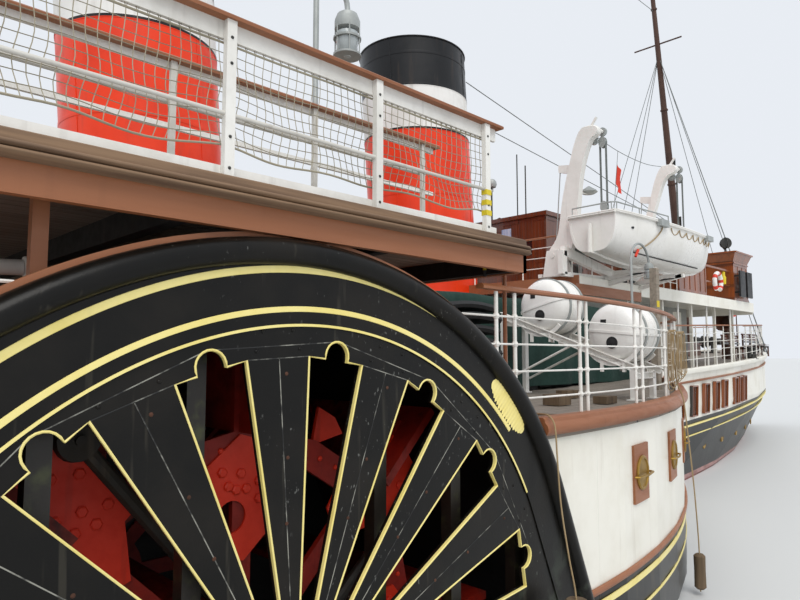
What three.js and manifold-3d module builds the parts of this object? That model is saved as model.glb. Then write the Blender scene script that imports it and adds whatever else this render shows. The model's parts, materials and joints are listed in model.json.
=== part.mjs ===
// Paddle steamer with side wheels, two raked funnels and two pole masts, as a model at half scale.
// Every length below is a full-size one in millimetres, and the group is scaled at the end.
// +X is towards the bow, +Y to port and +Z up. The origin is on the centreline, at the waterline,
// straight below the paddle shaft.
import * as THREE from 'three';
import { mergeVertices } from 'three/addons/utils/BufferGeometryUtils.js';
import Module from 'manifold-3d';

const wasm = await Module();
wasm.setup();

const MODEL_SCALE = 1 / 2;
const GAP = 0.8; // between pieces that rest on each other
const PORT = 1;
const STARBOARD = -1;
const SIDES = [[PORT, 'port'], [STARBOARD, 'starboard']];

// Hull
const DECK_DROP = 1470; // from the promenade deck down to the top of the black plating
const DECK_THICK = 110;
const HULL_HALF_BEAM = 4600;
const DECK_OVERHANG = 80;
const BLACK_BOW_X = 30000; // forward of this the plating is black up to the deck
const SHEER = [ // x, height of the promenade deck
  [-38000, 3640],
  [-22000, 3180],
  [-12000, 2990],
  [8400, 2990],
  [15500, 3210],
  [23500, 3495],
  [37000, 4020],
];
const LEVELS = [ // z, half beam, bow start, bow end, bow power, stern start, stern end, stern power
  [-1950, 2600, 1500, 32400, 1.6, -2500, -34100, 1.5],
  [-1500, 4200, 3000, 33500, 1.7, -5000, -34150, 1.6],
  [-700, 4560, 6000, 34250, 2.0, -8000, -34200, 1.9],
  [-300, 4600, 7000, 34550, 2.2, -10000, -34250, 2.0],
  [150, 4600, 8500, 34850, 2.4, -13000, -36200, 2.4],
  [2200, HULL_HALF_BEAM, 12800, 35900, 3.1, -15500, -37200, 3.4],
  [4800, HULL_HALF_BEAM, 12800, 35900, 3.1, -15500, -37200, 3.4],
];
const DECK_LEVEL = LEVELS[5];
const HULL_STEPS = 20;

// Paddle boxes and sponsons
const BOX_FACE_Y = 8640; // outer face of the vented boards
const BOX_BOARD = 60;
const RIM_Y = 8730; // outer face of the half-round rim, the ship's half breadth
const RIM_RADIUS = 3300;
const RIM_WIDTH = 160;
const RIM_Z = 1100; // centre of the rim's arc
const CASING_RADIUS = 3255;
const CASING_WALL = 50;
const CASING_IN_Y = 4650;
const BOX_FOOT_Z = 300;
const FLANK_ANGLE = 24; // where the arc runs out into the straight flanks, in degrees
const SHAFT_Z = 1450;
const VENT_COUNT = 8;
const VENT_PITCH = 24;
const VENT_TURN = 4.2; // by which the whole fan leans aft of upright
const VENT_HALF_ANGLE = 6;
const VENT_INNER = 500; // from the shaft's axis
const VENT_OUTER = 2540; // from the centre of the rim's arc
const VENT_LOBE = 98;
const VENT_LOBE_RISE = 30;
const POST_X = [-1445, -615, 870, 1725, 2610]; // timbers behind the boards
const SPONSON_FULL = 3300; // where the full breadth ends
const SPONSON_TIP = 13700;
const SPONSON_FOOT_Z = 450;

// Paddle wheels
const SHAFT_RADIUS = 200;
const SHAFT_SIDES = 36;
const WHEEL_RADIUS = 2450;
const WHEEL_IN_Y = 5000;
const WHEEL_OUT_Y = 8200;
const FRAME_PLANES = [5250, 7950];
const FRAME_THICK = 45;
const RING_OUTER = 1680;
const RING_INNER = 1450;
const ARM_WIDTH = 150;
const HUB_RADIUS = 480;
const ARM_TIP = 2270;
const FLOAT_COUNT = 8;
const FLOAT_DEPTH = 780;
const FLOAT_THICK = 70;

// Decks, houses and funnels
const CASING = { x0: -2500, x1: 12300, half: 2100, top: 4850, roof: 4950 };
const ROOF_THICK = 120;
const WALL = 60;
const WELL = { x0: -2100, x1: 7800, half: 1850, floor: -1150 };
const LANDING = { half: 2520, y: 8730, bottom: 4590, top: 4690, beam: 4420 };
const BOAT_DECK = { x0: 10600, x1: 22550, half: 4600, bottom: 5350, top: 5460 };
const FORE_HOUSE = { x0: 12800, x1: 21750, half: 2600, top: 5350 - GAP };
const CABIN = { x0: 13350, x1: 17550, half: 2000, top: 7680 };
const BRIDGE = { x0: 19400, x1: 22300, half: 2600, top: 7680 };
const WING = { x0: 20700, x1: 22100, in: 2680, out: 4600, top: 6780, lip: 7140, flare: 145 };
const AFT_HOUSE = { x0: -16500, x1: -7200, half: 2400, top: 5050 };
const FUNNEL_RADIUS = 1440;
const FUNNEL_WALL = 45;
const FUNNEL_TOP = 11810;
const FUNNEL_RAKE = 4.5;
const FUNNELS = [['funnel_aft', 2730], ['funnel_forward', 10450]]; // name, x at the roof
const MASTS = [ // name, x at the deck, foot radius, top radius, top z, rake in degrees
  ['foremast', 28550, 215, 85, 22200, 9.2],
  ['mainmast', -19500, 190, 75, 19000, 7],
];

const RAIL = { post: 25, thick: 22, deck: 1290, landing: 1050 }; // half a post's width and thickness, two heights

// Doorways
const DOOR_GAP = 12; // above, below and at the free edge of a leaf
const DOORWAYS = [ // leaf, middle x, half breadth of the house, width, sill, head, finish
  ['casing_door', 8250, CASING.half, 760, 3090, 4760, 'white'],
  ['forward_house_door', 20900, FORE_HOUSE.half, 760, 3480, 5220, 'white'],
  ['wheelhouse_door', 20000, BRIDGE.half, 760, BOAT_DECK.top + 80, 7400, 'varnish'],
];
const END_DOORWAYS = [ // leaf, x of the wall's aft face, width, sill, head, finish
  ['cabin_door', CABIN.x0, 800, BOAT_DECK.top + 80, 7400, 'varnish'],
  ['aft_house_door', AFT_HOUSE.x0, 900, 3200, 4900, 'white'],
];

// Cowl ventilators
const COWL = { x: 24100, y: 3200, trunk: 150, mouth: 360, length: 480, top: 5300, wall: 30 };

// Lifeboats and davits
const BOAT = { x0: 10200, x1: 16400, y: 5150, half: 920, gunwale: 6660, keel: 5760 };
const DAVIT_X = [10550, 14800];
const DAVIT_THICK = 190;
const DAVIT_PIVOT = { y: 4050, z: 5950 };
const DAVIT_HEAD = { y: BOAT.y, z: 8800 };
const PIVOT_PIN = 60;
const FALL = { offset: 260, pin: 45, eye: 95, width: 70, radius: 45 }; // ropes from the davit heads to the boat

const RADIANS = Math.PI / 180;
const MATERIALS = {
  black: material(0x16181a, 0.35, 0.1),
  white: material(0xece8de, 0.5, 0.0),
  brown: material(0x8a4a28, 0.5, 0.0),
  varnish: material(0x7a3814, 0.35, 0.0),
  deck: material(0x8f8578, 0.8, 0.0),
  red: material(0xd8432a, 0.45, 0.0),
  wheelRed: material(0xb02a18, 0.55, 0.1),
  steel: material(0x8b8e90, 0.5, 0.6),
  iron: material(0x2b2b2c, 0.6, 0.5),
  spar: material(0x5a3a26, 0.55, 0.0),
};

function material(color, roughness, metalness) {
  return new THREE.MeshStandardMaterial({ color, roughness, metalness });
}

// A closed three.js geometry as a solid that can be joined and cut.
function solid(geometry) {
  const bare = geometry.clone();
  bare.deleteAttribute('normal');
  bare.deleteAttribute('uv');
  const merged = mergeVertices(bare, 1e-3);
  return new wasm.Manifold(new wasm.Mesh({
    numProp: 3,
    vertProperties: new Float32Array(merged.attributes.position.array),
    triVerts: new Uint32Array(merged.index.array),
  }));
}

function geometryOf(shape) {
  const data = shape.getMesh();
  const geometry = new THREE.BufferGeometry();
  geometry.setAttribute('position', new THREE.BufferAttribute(Float32Array.from(data.vertProperties), 3));
  geometry.setIndex(new THREE.BufferAttribute(Uint32Array.from(data.triVerts), 1));
  geometry.computeVertexNormals();
  return geometry;
}

// Radius of a bore of so many sides in which a pin of as many sides can turn.
function boreFor(pin, sides) {
  return (pin + GAP) / Math.cos(Math.PI / sides);
}

function joined(shapes) {
  return shapes.reduce((sum, shape) => sum.add(shape));
}

// The same piece on the other side of the ship, with its faces still pointing out.
function mirrored(geometry) {
  const copy = geometry.clone();
  copy.scale(1, -1, 1);
  const order = copy.index.array;
  for (let i = 0; i < order.length; i += 3) {
    [order[i], order[i + 1]] = [order[i + 1], order[i]];
  }
  copy.computeVertexNormals();
  return copy;
}

function onSide(geometry, side) {
  return side === PORT ? geometry : mirrored(geometry);
}

function block(x0, x1, y0, y1, z0, z1) {
  const geometry = new THREE.BoxGeometry(x1 - x0, y1 - y0, z1 - z0);
  geometry.translate((x0 + x1) / 2, (y0 + y1) / 2, (z0 + z1) / 2);
  return solid(geometry);
}

function shapeOf(points, holes = []) {
  const shape = new THREE.Shape(points.map(([a, b]) => new THREE.Vector2(a, b)));
  shape.holes = holes.map((hole) => new THREE.Path(hole.map(([a, b]) => new THREE.Vector2(a, b))));
  return shape;
}

function extruded(points, depth, holes) {
  return new THREE.ExtrudeGeometry(shapeOf(points, holes), { depth, bevelEnabled: false, steps: 1 });
}

// Prisms whose outline lies in the plane that the name gives, between two values of the third axis.
function prismXY(points, z0, z1, holes) {
  return solid(extruded(points, z1 - z0, holes).translate(0, 0, z0));
}

function prismXZ(points, y0, y1, holes) {
  return solid(extruded(points, y1 - y0, holes).rotateX(Math.PI / 2).translate(0, y1, 0));
}

function prismYZ(points, x0, x1, holes) {
  const turn = new THREE.Matrix4().makeBasis(
    new THREE.Vector3(0, 1, 0),
    new THREE.Vector3(0, 0, 1),
    new THREE.Vector3(1, 0, 0),
  );
  return solid(extruded(points, x1 - x0, holes).applyMatrix4(turn).translate(x0, 0, 0));
}

function cylinderY(radius, y0, y1, x, z, sides = 24) {
  const geometry = new THREE.CylinderGeometry(radius, radius, y1 - y0, sides);
  return solid(geometry.translate(x, (y0 + y1) / 2, z));
}

function cylinderZ(radius, z0, z1, x, y, sides = 24) {
  const geometry = new THREE.CylinderGeometry(radius, radius, z1 - z0, sides).rotateX(Math.PI / 2);
  return solid(geometry.translate(x, y, (z0 + z1) / 2));
}

function cylinderX(radius, x0, x1, y, z, sides = 24) {
  const geometry = new THREE.CylinderGeometry(radius, radius, x1 - x0, sides).rotateZ(Math.PI / 2);
  return solid(geometry.translate((x0 + x1) / 2, y, z));
}

// A vertical part leaning aft: each level moves back in proportion to its height above the foot.
function raked(geometry, degrees) {
  const lean = -Math.tan(degrees * RADIANS);
  return geometry.applyMatrix4(new THREE.Matrix4().set(1, 0, lean, 0, 0, 1, 0, 0, 0, 0, 1, 0, 0, 0, 0, 1));
}

// Height of the promenade deck, straight between the stations of SHEER.
function deckZ(x) {
  const next = SHEER.findIndex(([station]) => station > x);
  const [x0, z0] = SHEER[next - 1];
  const [x1, z1] = SHEER[next];
  return z0 + (z1 - z0) * (x - x0) / (x1 - x0);
}

// The space between two lines that run parallel to the promenade deck.
function sheerBand(low, high) {
  const line = (rise) => SHEER.map(([x, z]) => [x, z + rise]);
  return prismXZ([...line(low), ...line(high).reverse()], -12000, 12000);
}

function halfBreadth(x, level, extra = 0) {
  const [, half, bowStart, bowEnd, bowPower, sternStart, sternEnd, sternPower] = level;
  if (x > bowStart) {
    return (half + extra) * (1 - ((x - bowStart) / (bowEnd + extra - bowStart)) ** bowPower);
  }
  if (x < sternStart) {
    return (half + extra) * (1 - ((sternStart - x) / (sternStart - sternEnd + extra)) ** sternPower);
  }
  return half + extra;
}

// One waterline of the hull as a closed plan outline, with its points closer at the ends.
function waterline(level, extra = 0) {
  const sternEnd = level[6] - extra;
  const bowEnd = level[3] + extra;
  const port = [];
  const starboard = [];
  for (let i = 0; i <= HULL_STEPS; i += 1) {
    const x = sternEnd + (bowEnd - sternEnd) * (1 - Math.cos(Math.PI * i / HULL_STEPS)) / 2;
    const y = i === 0 || i === HULL_STEPS ? 0 : halfBreadth(x, level, extra);
    starboard.push([x, -y]);
    port.push([x, y]);
  }
  return [...starboard, ...port.slice(1, -1).reverse()];
}

// The whole hull form from keel to above the deck: waterlines joined by strips of triangles.
function hullForm() {
  const rings = LEVELS.map((level) => waterline(level).map(([x, y]) => [x, y, level[0]]));
  const count = rings[0].length;
  const index = [];
  for (let k = 0; k < rings.length - 1; k += 1) {
    for (let i = 0; i < count; i += 1) {
      const j = (i + 1) % count;
      const [a, b, c, d] = [k * count + i, k * count + j, (k + 1) * count + j, (k + 1) * count + i];
      index.push(a, b, c, a, c, d);
    }
  }
  const topRing = (rings.length - 1) * count;
  for (let i = 0; i < HULL_STEPS; i += 1) {
    const across = (n) => (count - n) % count;
    const [s0, s1, p0, p1] = [i, i + 1, across(i), across(i + 1)];
    const quads = [[s0, s1, p1], [s0, p1, p0]].filter((t) => new Set(t).size === 3);
    quads.forEach(([a, b, c]) => {
      index.push(c, b, a);
      index.push(topRing + a, topRing + b, topRing + c);
    });
  }
  const geometry = new THREE.BufferGeometry();
  geometry.setAttribute('position', new THREE.Float32BufferAttribute(rings.flat(2), 3));
  geometry.setIndex(index);
  return solid(geometry);
}

// Outline of a paddle box: an arc on top, and straight flanks that spread down to the foot.
function boxOutline(radius, foot = BOX_FOOT_Z, steps = 28) {
  const start = FLANK_ANGLE * RADIANS;
  const arc = [];
  for (let i = 0; i <= steps; i += 1) {
    const angle = start + (Math.PI - 2 * start) * i / steps;
    arc.push([radius * Math.cos(angle), RIM_Z + radius * Math.sin(angle)]);
  }
  const drop = arc[0][1] - foot;
  const footX = arc[0][0] + drop * Math.tan(start);
  return [[footX, foot], ...arc, [-footX, foot]];
}

// One radial vent: straight sides towards the shaft, square shoulders and a round lobe on top.
function ventOutline(angle) {
  const rise = SHAFT_Z - RIM_Z;
  const along = [Math.cos(angle), Math.sin(angle)];
  const dot = along[1] * rise;
  const reach = -dot + Math.sqrt(dot * dot + VENT_OUTER ** 2 - rise ** 2);
  const slope = Math.tan(VENT_HALF_ANGLE * RADIANS);
  const local = [[VENT_INNER, -VENT_INNER * slope], [reach, -reach * slope], [reach, -VENT_LOBE]];
  for (let i = 1; i < 6; i += 1) {
    const turn = -Math.PI / 2 + Math.PI * i / 6;
    local.push([reach + VENT_LOBE_RISE + VENT_LOBE * Math.cos(turn), VENT_LOBE * Math.sin(turn)]);
  }
  local.push([reach, VENT_LOBE], [reach, reach * slope], [VENT_INNER, VENT_INNER * slope]);
  return local.map(([r, t]) => [along[0] * r - along[1] * t, SHAFT_Z + along[1] * r + along[0] * t]);
}

function ventAngles() {
  const middle = (VENT_COUNT - 1) / 2;
  return Array.from({ length: VENT_COUNT }, (_, i) => (90 + VENT_TURN + (i - middle) * VENT_PITCH) * RADIANS);
}

function boxFace() {
  const boards = prismXZ(boxOutline(CASING_RADIUS), BOX_FACE_Y - BOX_BOARD, BOX_FACE_Y, ventAngles().map(ventOutline));
  const outer = prismXZ(boxOutline(RIM_RADIUS), BOX_FACE_Y - BOX_BOARD, RIM_Y);
  const inner = prismXZ(boxOutline(RIM_RADIUS - RIM_WIDTH, BOX_FOOT_Z - 100), 8000, 9000);
  return boards.add(outer.subtract(inner));
}

// Crown and flanks of the box, its wall against the hull, and the beam that carries the outer bearing.
function boxCasing() {
  const outY = BOX_FACE_Y - BOX_BOARD - GAP;
  const hollow = prismXZ(boxOutline(CASING_RADIUS - CASING_WALL, BOX_FOOT_Z - 100), CASING_IN_Y + CASING_WALL, 9000);
  const slot = block(-450, 450, 4000, 5000, SHAFT_Z - 400, SHAFT_Z + 400);
  const shell = prismXZ(boxOutline(CASING_RADIUS), CASING_IN_Y, outY).subtract(hollow).subtract(slot);
  const beam = block(-3900, 3900, 8290, 8470, SHAFT_Z - 440, SHAFT_Z - 230);
  const bearing = block(-400, 400, 8290, 8470, SHAFT_Z - 300, SHAFT_Z + 400);
  const posts = POST_X.map((x) => block(x - 60, x + 60, 8350, 8460, SHAFT_Z - 250, RIM_Z + RIM_RADIUS));
  const inside = prismXZ(boxOutline(CASING_RADIUS - CASING_WALL / 2, BOX_FOOT_Z), 8000, 8500);
  const frame = joined([beam, bearing, ...posts]).intersect(inside);
  const bore = cylinderY(boreFor(SHAFT_RADIUS, SHAFT_SIDES), 8000, 9000, 0, SHAFT_Z, SHAFT_SIDES);
  return shell.add(frame).subtract(bore);
}

// Half breadth of a sponson at a share of the way from its full breadth to its tip, on a parabola.
function sponsonY(share) {
  return HULL_HALF_BEAM + (BOX_FACE_Y - HULL_HALF_BEAM) * (1 - share * share);
}

// Plan outline of a sponson: full breadth at the box, then a parabola in to the ship's side.
function sponsonOutline(end, inset = 0) {
  const outline = [];
  const start = 1900;
  const steps = 9;
  for (let i = 0; i <= steps; i += 1) {
    const s = i / steps;
    outline.push([SPONSON_FULL + (SPONSON_TIP - SPONSON_FULL) * s, sponsonY(s) - inset]);
  }
  const points = [[start, HULL_HALF_BEAM + GAP], [start, BOX_FACE_Y - inset], ...outline];
  points[points.length - 1][1] = HULL_HALF_BEAM + GAP;
  return end > 0 ? points.reverse() : points.map(([x, y]) => [-x, y]);
}

function sponson(end) {
  const plan = prismXY(sponsonOutline(end), SPONSON_FOOT_Z - 400, 5000);
  const section = [
    [HULL_HALF_BEAM, SPONSON_FOOT_Z - 300],
    [BOX_FACE_Y - 300, SPONSON_FOOT_Z - 120],
    [BOX_FACE_Y + 50, SPONSON_FOOT_Z + 80],
    [BOX_FACE_Y + 50, 6000],
    [HULL_HALF_BEAM, 6000],
  ];
  const profile = prismYZ(section, -20000, 20000);
  const casingSpace = prismXZ(boxOutline(CASING_RADIUS + GAP, -1000), 4000, 9500);
  const faceSpace = prismXZ(boxOutline(RIM_RADIUS + GAP, -1000), BOX_FACE_Y - BOX_BOARD - GAP, 9500);
  const under = plan.intersect(profile).intersect(sheerBand(-6000, -DECK_THICK - GAP));
  return under.subtract(casingSpace).subtract(faceSpace);
}

function wheel() {
  const frames = FRAME_PLANES.map((y) => wheelFrame(y));
  const floats = [];
  for (let i = 0; i < FLOAT_COUNT; i += 1) {
    const board = new THREE.BoxGeometry(FLOAT_DEPTH, WHEEL_OUT_Y - WHEEL_IN_Y, FLOAT_THICK);
    board.translate(WHEEL_RADIUS - FLOAT_DEPTH / 2, (WHEEL_OUT_Y + WHEEL_IN_Y) / 2, 0);
    floats.push(solid(board.rotateY(2 * Math.PI * i / FLOAT_COUNT)));
  }
  const hub = cylinderY(SHAFT_RADIUS + 130, WHEEL_IN_Y, WHEEL_OUT_Y, 0, 0);
  const bore = cylinderY(SHAFT_RADIUS + GAP, 4000, 9000, 0, 0, SHAFT_SIDES);
  return joined([...frames, ...floats, hub]).subtract(bore);
}

// One side frame of a wheel as a flat plate: ring, eight arms to the floats, and the hub's disc.
function wheelFrame(y) {
  const polar = (r, angle) => [r * Math.cos(angle), r * Math.sin(angle)];
  const half = ARM_WIDTH / 2;
  const step = 2 * Math.PI / FLOAT_COUNT;
  const outline = [];
  const windows = [];
  for (let i = 0; i < FLOAT_COUNT; i += 1) {
    const turn = i * step;
    const arc = (r, first, last) => [first, (first + last) / 2, last].map((a) => polar(r, turn + a));
    const tip = Math.asin(half / ARM_TIP);
    const root = Math.asin(half / RING_OUTER);
    outline.push(polar(ARM_TIP, turn - tip), polar(ARM_TIP, turn + tip), ...arc(RING_OUTER, root, step - root));
    const outer = Math.asin(half / RING_INNER);
    const inner = Math.asin(half / HUB_RADIUS);
    windows.push([...arc(RING_INNER, outer, step - outer), ...arc(HUB_RADIUS, inner, step - inner).reverse()]);
  }
  return prismXZ(outline, y - FRAME_THICK / 2, y + FRAME_THICK / 2, windows);
}

// A hollow house on a deck: walls of one thickness with the window and door openings cut through.
function house({ x0, x1, half, top }, floor, windows) {
  const outside = block(x0, x1, -half, half, floor, top);
  const inside = block(x0 + WALL, x1 - WALL, -half + WALL, half - WALL, floor - 500, top + 500);
  return joined([outside.subtract(inside)]).subtract(joined(windows));
}

// Openings through both side walls at the given places along the ship.
function sideWindows(half, places, width, z0, z1) {
  return places.flatMap((x) => SIDES.map(([side]) => {
    const y = side * half;
    return block(x - width / 2, x + width / 2, y - 150, y + 150, z0, z1);
  }));
}

function endWindows(xWall, places, width, z0, z1) {
  return places.map((y) => block(xWall - 150, xWall + 150, y - width / 2, y + width / 2, z0, z1));
}

// The cuts for the leaves of one name, in both sides of a house or in its aft end.
function doorways(name) {
  const sides = DOORWAYS.filter((row) => row[0] === name);
  const ends = END_DOORWAYS.filter((row) => row[0] === name);
  return [
    ...sides.flatMap(([, x, half, width, z0, z1]) => sideWindows(half, [x], width, z0, z1)),
    ...ends.flatMap(([, x, width, z0, z1]) => endWindows(x, [0], width, z0, z1)),
  ];
}

function spread(first, last, count) {
  return Array.from({ length: count }, (_, i) => first + (last - first) * i / (count - 1));
}

function funnel() {
  const height = FUNNEL_TOP - CASING.roof - GAP;
  const inner = FUNNEL_RADIUS - FUNNEL_WALL;
  const profile = [
    [inner, 0],
    [FUNNEL_RADIUS + 55, 0],
    [FUNNEL_RADIUS + 55, 80],
    [FUNNEL_RADIUS, 80],
    [FUNNEL_RADIUS, height - 60],
    [FUNNEL_RADIUS + 25, height - 60],
    [FUNNEL_RADIUS + 25, height],
    [inner, height],
    [inner, 0],
  ];
  const lathe = new THREE.LatheGeometry(profile.map(([r, z]) => new THREE.Vector2(r, z)), 28);
  return geometryOf(solid(raked(lathe.rotateX(Math.PI / 2), FUNNEL_RAKE)));
}

// A raked pole mast whose foot is cut to the slope of the deck under it.
function mast(x, foot, footRadius, topRadius, height, rake) {
  const geometry = new THREE.CylinderGeometry(topRadius, footRadius, height, 14);
  const pole = raked(geometry.rotateX(Math.PI / 2).translate(0, 0, height / 2 - footRadius), rake);
  const standing = solid(pole.translate(x, 0, foot)).subtract(sheerBand(-9000, GAP));
  return geometryOf(standing).translate(-x, 0, -foot);
}

// A railing along a path of posts, as one body: bottom bar, middle bar and hand rail between posts.
// Each post has two stations along the path, and each bar row and open row has two heights.
// The floor gives the height of the deck at a place along the ship.
function railing(points, floor, height) {
  const levels = [0, 110, height * 0.52 - 20, height * 0.52 + 20, height - 60, height];
  const stations = points.flatMap((point, i) => {
    const before = points[Math.max(i - 1, 0)];
    const after = points[Math.min(i + 1, points.length - 1)];
    const along = new THREE.Vector2(after[0] - before[0], after[1] - before[1]).normalize();
    return [-RAIL.post, RAIL.post].map((s) => ({
      x: point[0] + along.x * s,
      y: point[1] + along.y * s,
      out: [along.y * RAIL.thick, -along.x * RAIL.thick],
    }));
  });
  const position = stations.flatMap(({ x, y, out }) => levels.flatMap((level) => [1, -1].map((face) => (
    [x + face * out[0], y + face * out[1], floor(x + face * out[0]) + level]
  )))).flat();
  const at = (j, l, back) => (j * levels.length + l) * 2 + back;
  const rows = levels.length - 1;
  const filled = (j, r) => {
    const inside = j >= 0 && j < stations.length - 1 && r >= 0 && r < rows;
    return inside && (j % 2 === 0 || r % 2 === 0);
  };
  const index = [];
  const quad = (a, b, c, d, flip) => index.push(...(flip ? [a, c, b, a, d, c] : [a, b, c, a, c, d]));
  for (let j = 0; j < stations.length; j += 1) {
    for (let r = 0; r <= rows; r += 1) {
      if (filled(j, r)) {
        quad(at(j, r, 0), at(j + 1, r, 0), at(j + 1, r + 1, 0), at(j, r + 1, 0), false);
        quad(at(j, r, 1), at(j + 1, r, 1), at(j + 1, r + 1, 1), at(j, r + 1, 1), true);
      }
      if (filled(j, r) !== filled(j, r - 1)) {
        quad(at(j, r, 0), at(j + 1, r, 0), at(j + 1, r, 1), at(j, r, 1), filled(j, r));
      }
      if (filled(j, r) !== filled(j - 1, r)) {
        quad(at(j, r, 0), at(j, r, 1), at(j, r + 1, 1), at(j, r + 1, 0), filled(j, r));
      }
    }
  }
  const geometry = new THREE.BufferGeometry();
  geometry.setAttribute('position', new THREE.Float32BufferAttribute(position, 3));
  geometry.setIndex(index);
  return geometryOf(solid(geometry));
}

// Deck points along the ship's side, set in from the deck's edge, from one end of the run to the other.
function sideRun(x0, x1, count, side, inset = 60) {
  return spread(x0, x1, count).map((x) => [x, side * (halfBreadth(x, DECK_LEVEL) - inset)]);
}

function lifeboat() {
  const stations = [ // place along the boat, half beam, keel rise, sheer rise
    [0, 0.3, 0.2, 0.24],
    [0.1, 0.66, 0.06, 0.14],
    [0.35, 1.0, 0, 0],
    [0.6, 0.95, 0, 0.04],
    [0.8, 0.68, 0.06, 0.16],
    [0.93, 0.31, 0.22, 0.3],
    [1, 0.04, 0.5, 0.42],
  ];
  const depth = BOAT.gunwale - BOAT.keel;
  const rings = stations.map(([u, beam, keel, sheer]) => {
    const x = BOAT.x0 + (BOAT.x1 - BOAT.x0) * u;
    const b = BOAT.half * beam;
    const z0 = BOAT.keel + depth * keel;
    const z1 = BOAT.gunwale + depth * sheer * 0.5;
    const arc = [[0.06, 0], [0.55, 0.16], [0.88, 0.5], [1, 1]].map(([w, h]) => [b * w, z0 + (z1 - z0) * h]);
    const half = arc.map(([y, z]) => [x, BOAT.y + y, z]);
    return [...half, ...half.map(([px, py, pz]) => [px, 2 * BOAT.y - py, pz]).reverse()];
  });
  const headZ = DAVIT_HEAD.z - 100;
  const falls = DAVIT_X.flatMap((davitX) => {
    const x = davitX + FALL.offset;
    const eye = cylinderX(FALL.eye, x - FALL.width / 2, x + FALL.width / 2, BOAT.y, headZ, 10);
    const rope = cylinderZ(FALL.radius, BOAT.gunwale - 200, headZ - 60, x, BOAT.y, 6);
    return [rope.add(eye).subtract(cylinderX(boreFor(FALL.pin, 16), x - 500, x + 500, BOAT.y, headZ, 16))];
  });
  return joined([solid(lofted(rings)), ...falls]);
}

// Strips of triangles between rings that have the same number of points, with flat ends.
function lofted(rings) {
  const count = rings[0].length;
  const index = [];
  for (let k = 0; k < rings.length - 1; k += 1) {
    for (let i = 0; i < count; i += 1) {
      const j = (i + 1) % count;
      const [a, b, c, d] = [k * count + i, k * count + j, (k + 1) * count + j, (k + 1) * count + i];
      index.push(a, b, c, a, c, d);
    }
  }
  const last = (rings.length - 1) * count;
  for (let i = 1; i < count - 1; i += 1) {
    index.push(0, i + 1, i);
    index.push(last, last + i, last + i + 1);
  }
  const geometry = new THREE.BufferGeometry();
  geometry.setAttribute('position', new THREE.Float32BufferAttribute(rings.flat(2), 3));
  geometry.setIndex(index);
  return geometry;
}

// A davit arm about its pivot: a blade, slightly bent, in a plane across the ship, with an eye at the foot.
function davitArm() {
  const reachY = DAVIT_HEAD.y - DAVIT_PIVOT.y;
  const reachZ = DAVIT_HEAD.z - DAVIT_PIVOT.z;
  const outline = [
    [-190, -150],
    [190, -150],
    [320, 250],
    [335, 760],
    [430, 1300],
    [610, 1900],
    [reachY - 260, reachZ - 280],
    [reachY + 60, reachZ - 210],
    [reachY + 60, reachZ - 40],
    [reachY - 140, reachZ + 20],
    [reachY - 430, reachZ],
    [330, 1650],
    [130, 1050],
    [50, 500],
    [-60, 200],
    [-190, 80],
  ];
  const blade = prismYZ(outline, -DAVIT_THICK / 2, DAVIT_THICK / 2);
  const headPin = cylinderX(FALL.pin, 0, FALL.offset + 80, reachY, reachZ - 100, 16);
  return blade.add(headPin).subtract(cylinderX(boreFor(PIVOT_PIN, 20), -500, 500, 0, 0, 20));
}

// The fixed feet of a pair of davits: a plate on the deck, and two triangular cheeks with pins.
function davitFrame() {
  const { y, z } = DAVIT_PIVOT;
  const base = BOAT_DECK.top + GAP;
  const pieces = [block(DAVIT_X[0] - 100, DAVIT_X[1] + 100, y - 440, y - 330, base, base + 80)];
  DAVIT_X.forEach((x) => {
    [-1, 1].forEach((end) => {
      const near = x + end * (DAVIT_THICK / 2 + 30);
      const far = x + end * (DAVIT_THICK / 2 + 80);
      const cheek = [[y - 520, base], [y + 470, base], [y + 150, z + 120], [y - 150, z + 120]];
      pieces.push(prismYZ(cheek, Math.min(near, far), Math.max(near, far)));
    });
    pieces.push(cylinderX(PIVOT_PIN, x - DAVIT_THICK, x + DAVIT_THICK, y, z, 20));
  });
  return joined(pieces);
}

const ship = new THREE.Group();

function place(name, geometry, finish, parent = ship) {
  const mesh = new THREE.Mesh(geometry, MATERIALS[finish]);
  mesh.name = name;
  parent.add(mesh);
  return mesh;
}

// Hull, upper plating and decks
const form = hullForm();
const well = block(WELL.x0, WELL.x1, -WELL.half, WELL.half, WELL.floor, 8000);
const shaftWay = block(-420, 420, -5000, 5000, SHAFT_Z - 350, SHAFT_Z + 400);
const rudderAxis = { x: -34550, radius: 90 };
const stockBore = cylinderZ(boreFor(rudderAxis.radius, 24), -800, 900, rudderAxis.x, 0, 24);
const bowBlock = block(BLACK_BOW_X, 40000, -6000, 6000, -3000, 8000);
const bowPlating = form.intersect(sheerBand(-DECK_DROP - 60, -DECK_THICK - GAP)).intersect(bowBlock);
const blackHull = form.intersect(sheerBand(-9000, -DECK_DROP)).add(bowPlating);
place('hull', geometryOf(blackHull.subtract(well).subtract(shaftWay).subtract(stockBore)), 'black');

const aftOfBow = block(-40000, BLACK_BOW_X - GAP, -6000, 6000, -3000, 8000);
const upperPlating = form.intersect(sheerBand(-DECK_DROP + GAP, -DECK_THICK - GAP)).intersect(aftOfBow);
place('upper_plating', geometryOf(upperPlating.subtract(well).subtract(shaftWay)), 'white');

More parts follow.
